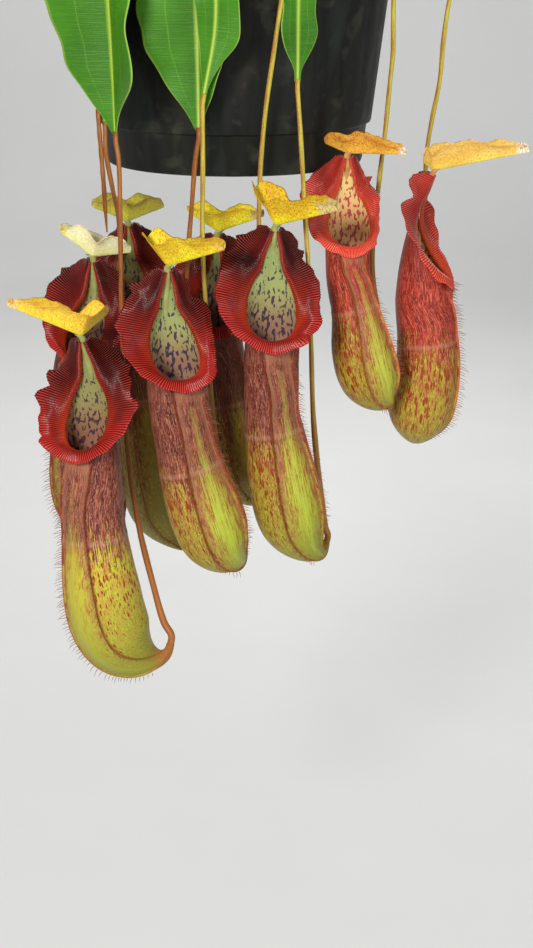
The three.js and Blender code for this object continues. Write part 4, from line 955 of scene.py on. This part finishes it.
def make_soil(material, chip_materials):
    rng = random.Random(11)
    floor = POT_BASE_Z + POT_WALL + 1.3
    top_r = pot_radius(SOIL_TOP_Z) - POT_WALL - 0.6
    stops = [(0.01, floor), (POT_BASE_R - POT_WALL - 0.6, floor), (top_r, SOIL_TOP_Z)]
    bed = slice(len(stops), None)
    for share in np.linspace(1, 0, 26)[1:]:
        stops.append((max(0.01, top_r * share), mix(SOIL_CROWN_Z, SOIL_TOP_Z, share**1.6)))
    rings = lathe_rings(stops, 120)
    x, y = rings[bed, :, 0], rings[bed, :, 1]
    bumps = (1.6 * np.sin(x * 0.13 + 1) * np.cos(y * 0.17) + 1.1 * np.sin(x * 0.31 + y * 0.27)
             + 0.9 * np.sin(x * 0.8 + 3) * np.sin(y * 0.73) + 0.5 * np.sin(x * 1.7) * np.cos(y * 1.9 + x))
    rings[bed, :, 2] += bumps * (np.hypot(x, y) > 1)
    dress(grid_object("soil_bed", rings), "bark_and_moss", material, node="soil")
    chips, slots = [], []
    for _ in range(CHIPS_TRIED):
        r, a = top_r * 0.97 * sqrt(rng.random()), rng.uniform(0, 2 * pi)
        size = rng.uniform(3.5, 9)
        z = mix(SOIL_CROWN_Z, SOIL_TOP_Z, (r / top_r) ** 1.6) + rng.uniform(-0.5, 2.2)
        if r + size > top_r or r < STEM_R + 3:
            continue
        axis = unit(np.array([rng.gauss(0, 1), rng.gauss(0, 1), rng.gauss(0, 0.35)]))
        wide = unit(np.cross(axis, [rng.gauss(0, 0.3), rng.gauss(0, 0.3), 1]))
        thick = np.cross(axis, wide)
        centre = np.array([r * cos(a), r * sin(a), z])
        chips.append([[centre + (wide * cos(b) * 0.42 + thick * sin(b) * 0.24) * size * rng.uniform(0.7, 1.1)
                       + axis * end * size * rng.uniform(0.42, 0.6) for b in circle(CHIP_SIDES)]
                      for end in (-1, 1)])
        slots += [rng.choice((0, 0, 1, 2))] * (CHIP_SIDES + 2)
    bark = bars("bark_chips", chips)
    bark.data.polygons.foreach_set("material_index", slots)
    dress(bark, "bark_and_moss", *chip_materials)


def make_stem(material):
    z = np.linspace(STEM_FOOT_Z, STEM_TOP_Z, 90)
    share = profile([(STEM_FOOT_Z, 1), (-372, 1), (-350, 0.92), (-325, 1), (-300, 0.9), (-280, 0.8),
                     (-268, 0.5), (STEM_TOP_Z, 0.2)], z)
    radii = STEM_R * share * 0.97 + 0.35 * np.abs(np.sin(z * 0.19)) ** 8
    dress(tube("stem_shaft", np.stack([z * 0, z * 0, z], -1), radii, 20), "stem", material, node="stem")


def make_hanger(plastic, wire):
    bend = HOOK_WIRE_R - HOOK_BEND_R
    route = [(0, 0, HUB_TOP_Z - 4), (0, 0, bend - HOOK_BEND_R - 10)]
    for a in range(-72, 206, 23):
        route.append((HOOK_BEND_R * cos(radians(a)), 0, bend + HOOK_BEND_R * sin(radians(a))))
    hook = tube("hook", Path(route).at(np.linspace(0, 1, 110)), HOOK_WIRE_R, 16)
    dress(hook, "hanger_plastic", plastic, node="hanger_hook")
    hub = [(0.01, HUB_BASE_Z), (HUB_R - 1.4, HUB_BASE_Z), (HUB_R - 0.3, HUB_BASE_Z + 0.7),
           (HUB_R, HUB_BASE_Z + 2.2), (HUB_R, HUB_TOP_Z - 6), (HUB_R - 0.7, HUB_TOP_Z - 4),
           (HOOK_WIRE_R + 2, HUB_TOP_Z - 0.4), (HOOK_WIRE_R + 0.6, HUB_TOP_Z), (0.01, HUB_TOP_Z)]
    dress(grid_object("hub", lathe_rings(hub, 48)), "hanger_plastic", plastic)
    clear = WIRE_R + SEAT_GAP
    over, beside, under = POT_RIM_Z + clear, POT_LIP_R + clear, POT_RIM_Z - POT_LIP_H - clear
    stops = [(4.4, HUB_BASE_Z + 1), (4.8, HUB_BASE_Z - 6), (7, -70), (11, -80), (118, over + 11),
             (121, over + 4), (124.5, over + 0.8), (POT_LIP_R - 1, over), (beside, over - 2.4),
             (beside, under + 2), (beside - 1.8, under), (beside - 4.5, under)]
    for n, facing in enumerate(WIRE_FACINGS, 1):
        route = Path([facing_vector(facing, r, z) for r, z in stops])
        obj = tube(f"wire_{n}", route.at(np.linspace(0, 1, 240)), WIRE_R, 10)
        dress(obj, "hanger_wire", wire, node=f"hanger_wire_{n}")


# The pieces and their materials

chips = [plain_look("bark", "6b4a30", "3b2617", 160, 0.9, 0.7),
         plain_look("bark_pale", "8a6a48", "54392a", 160, 0.9, 0.7),
         plain_look("moss", "6f7a35", "3d4a1e", 260, 0.95, 0.8)]
make_pot(pot_look())
make_soil(plain_look("soil", "4a3220", "24170f", 130, 0.95, 0.8), chips)
make_stem(plain_look("stem_bark", "7d6a35", "4f3c20", 120, 0.7, 0.5))
make_hanger(plain_look("hanger_plastic", "222423", "161716", 200, 0.45),
            plain_look("hanger_wire", "3a3b3a", "262726", 400, 0.35, metallic=0.4))

leaf_green = leaf_look()
brown_tendril = tendril_look("tendril_brown", "7c3e1c", "a4692c", "b8823a")
yellow_tendril = tendril_look("tendril_yellow", "9a662a", "bcb440", "d8d05c")
for number, row in enumerate(LEAVES, 1):
    make_leaf(number, row, leaf_green)
for number, route in enumerate(TENDRILS, 1):
    make_tendril(number, route, yellow_tendril if number in YELLOW_TENDRILS else brown_tendril)

brown = body_look("cup_brown", "984e3c", "521816", "cc9074", "bc9038", "b8b834", "8c3416", 0.6, "b0743a")
warm = body_look("cup_warm", "8a4434", "501614", "b48062", "92602a", "a09030", "883218", 0.7, "b07c3c",
                 gold_tone="aebe3a", core_share=0.7)
# A darker copy of the cup skin, for the cups at the back: painted shade.
dark = body_look("cup_shaded", "7c3e2e", "43140f", "a86e50", "8c6428", "948a2c", "7c2a14", 0.64, "94602e",
                 "746c20", gold_tone="80742a", core_share=0.05, upper_edge="6c4030")
pink = body_look("cup_pink", "b43a2c", "74170f", "d87a60", "9c602c", "a8942f", "8c3418", 0.74, "c07848",
                 gold_tone="b6c042", core_share=0.7, crest="c0602a")
green_inside = inside_look("cup_inside", "a4a666", "80965a", "3a2a46", "98685a")
brown_inside = inside_look("cup_inside_brown", "a2925e", "7f8c52", "4a2c42", "9a6450")
pink_inside = inside_look("cup_inside_pink", "e4d080", "dca060", "aa3048", "d0a068")
# The last colour of each collar is the painted highlight on its rib crests.
red_collar = collar_look("collar_red", "2a0405", "a81610", "bc4016", "e87a66")
bright_collar = collar_look("collar_bright", "8c1a16", "dc4028", "e06830", "f6ac94")
green_neck = plain_look("neck", "a3a866", "8f9450", 160, 0.45)
pink_neck = plain_look("neck_pink", "d09a5c", "b47844", 160, 0.45)
hair = plain_look("fringe_hair", "9a5c3a", "6a3420", 300, 0.5)
# Each cup's outside, inside and lid
CUP_LOOKS = [
    (brown, brown_inside, ("lid_amber", "ffde48", "f8cc3e", "cc7a2a", 0.6, "f2e62c", "f4d27a")),
    (warm, green_inside, ("lid_yellow", "f2da30", "e0b428", "bc7420", 0.8, "eef01e", "e8c450")),
    (warm, green_inside, ("lid_gold", "efd22c", "dcab28", "b86c20", 0.85, "eef01e", "d4c880", 0.76)),
    # Lid 4 is pale, and its colours are raised to near white for the strong light on it: partly its own
    # colour, partly painted light.
    (dark, brown_inside, ("lid_lit_white", "fffed0", "fffac0", "cf9450", 0.3, "e6ee5c", "f4e86a")),
    (dark, brown_inside, ("lid_green", "d4ca48", "b8a83a", "98702c", 0.5, "d4dc40", "cdc05a")),
    (dark, green_inside, ("lid_dull", "fcec38", "eccc2e", "bc7a22", 0.65, "e6e62a", "c8ba6c", 0.8)),
    (pink, pink_inside, ("lid_orange", "f4b848", "e09a34", "b45c20", 0.8, "f6c84a", "fbeccb", 0.93)),
    (pink, pink_inside, ("lid_pale", "fbd870", "f0c054", "c47a34", 0.5, "f6e64c", "fdf0cf")),
]
for number, (cup, (outside, inside, lid)) in enumerate(zip(PITCHERS, CUP_LOOKS), 1):
    slot, collar, neck = "pitcher", red_collar, green_neck
    if outside is pink:
        slot, collar, neck = "pitcher_pink", bright_collar, pink_neck
    make_body(number, cup, outside, inside, slot)
    make_collar(number, cup, collar)
    make_lid(number, cup, lid_look(*lid), "lid_pale" if number == 4 else "lid")
    make_neck(number, cup, neck)
    make_spur(number, cup, brown_tendril)
    make_fringe(number, cup, hair)

# Stage, lights and camera

FLOOR_Z, BEND_R = -1.3, 1.2
stops = [(-6.0, FLOOR_Z)] + [(3.0 + BEND_R * sin(a), FLOOR_Z + BEND_R - BEND_R * cos(a))
                             for a in np.linspace(0, pi / 2, 24)] + [(4.2, 6.0)]
verts = [(x, y, z) for y, z in stops for x in (-9.0, 9.0)]
faces = [(2 * n, 2 * n + 1, 2 * n + 3, 2 * n + 2) for n in range(len(stops) - 1)]
backdrop = new_object("backdrop", verts, faces)
backdrop.data.polygons.foreach_set("use_smooth", [True] * len(faces))
backdrop.data.materials.append(plain_look("backdrop_paper", "e6e6e3", "e2e2df", 3, 0.9, 0.0))


def area_light(name, location, target, size, power, tint=(1, 1, 1)):
    data = bpy.data.lights.new(name, "AREA")
    data.shape, data.size, data.energy, data.color = "DISK", size, power, tint
    lamp = bpy.data.objects.new(name, data)
    lamp.location = location
    x, y, z = np.subtract(target, location)
    lamp.rotation_euler = (atan2(hypot(x, y), -z), 0, atan2(-x, y))
    bpy.context.scene.collection.objects.link(lamp)


area_light("key", (-0.8, -2.3, 0.25), (0, -0.1, -0.7), 0.6, 57, (1, 0.98, 0.95))
area_light("fill", (1.7, -1.8, -0.2), (0, -0.1, -0.7), 1.2, 16)
area_light("rim", (0.6, 1.7, 0.8), (0, 0, -0.6), 1.0, 18)
area_light("wash", (0, 1.5, 1.4), (0, 4.4, -0.7), 2.5, 34)

world = bpy.data.worlds.new("studio")
world.use_nodes = True
sky = world.node_tree.nodes["Background"].inputs
sky[0].default_value, sky[1].default_value = (0.9, 0.93, 1.0, 1), 0.3
scene = bpy.context.scene
scene.world = world
scene.view_settings.view_transform = "Standard"

view = bpy.data.cameras.new("camera")
view.sensor_width, view.lens = 36, 68.35
camera = bpy.data.objects.new("camera", view)
camera.location = (0.0244, -1.4, -0.376)
camera.rotation_euler = (radians(90 - 17.4), 0, 0)
scene.collection.objects.link(camera)
scene.camera = camera
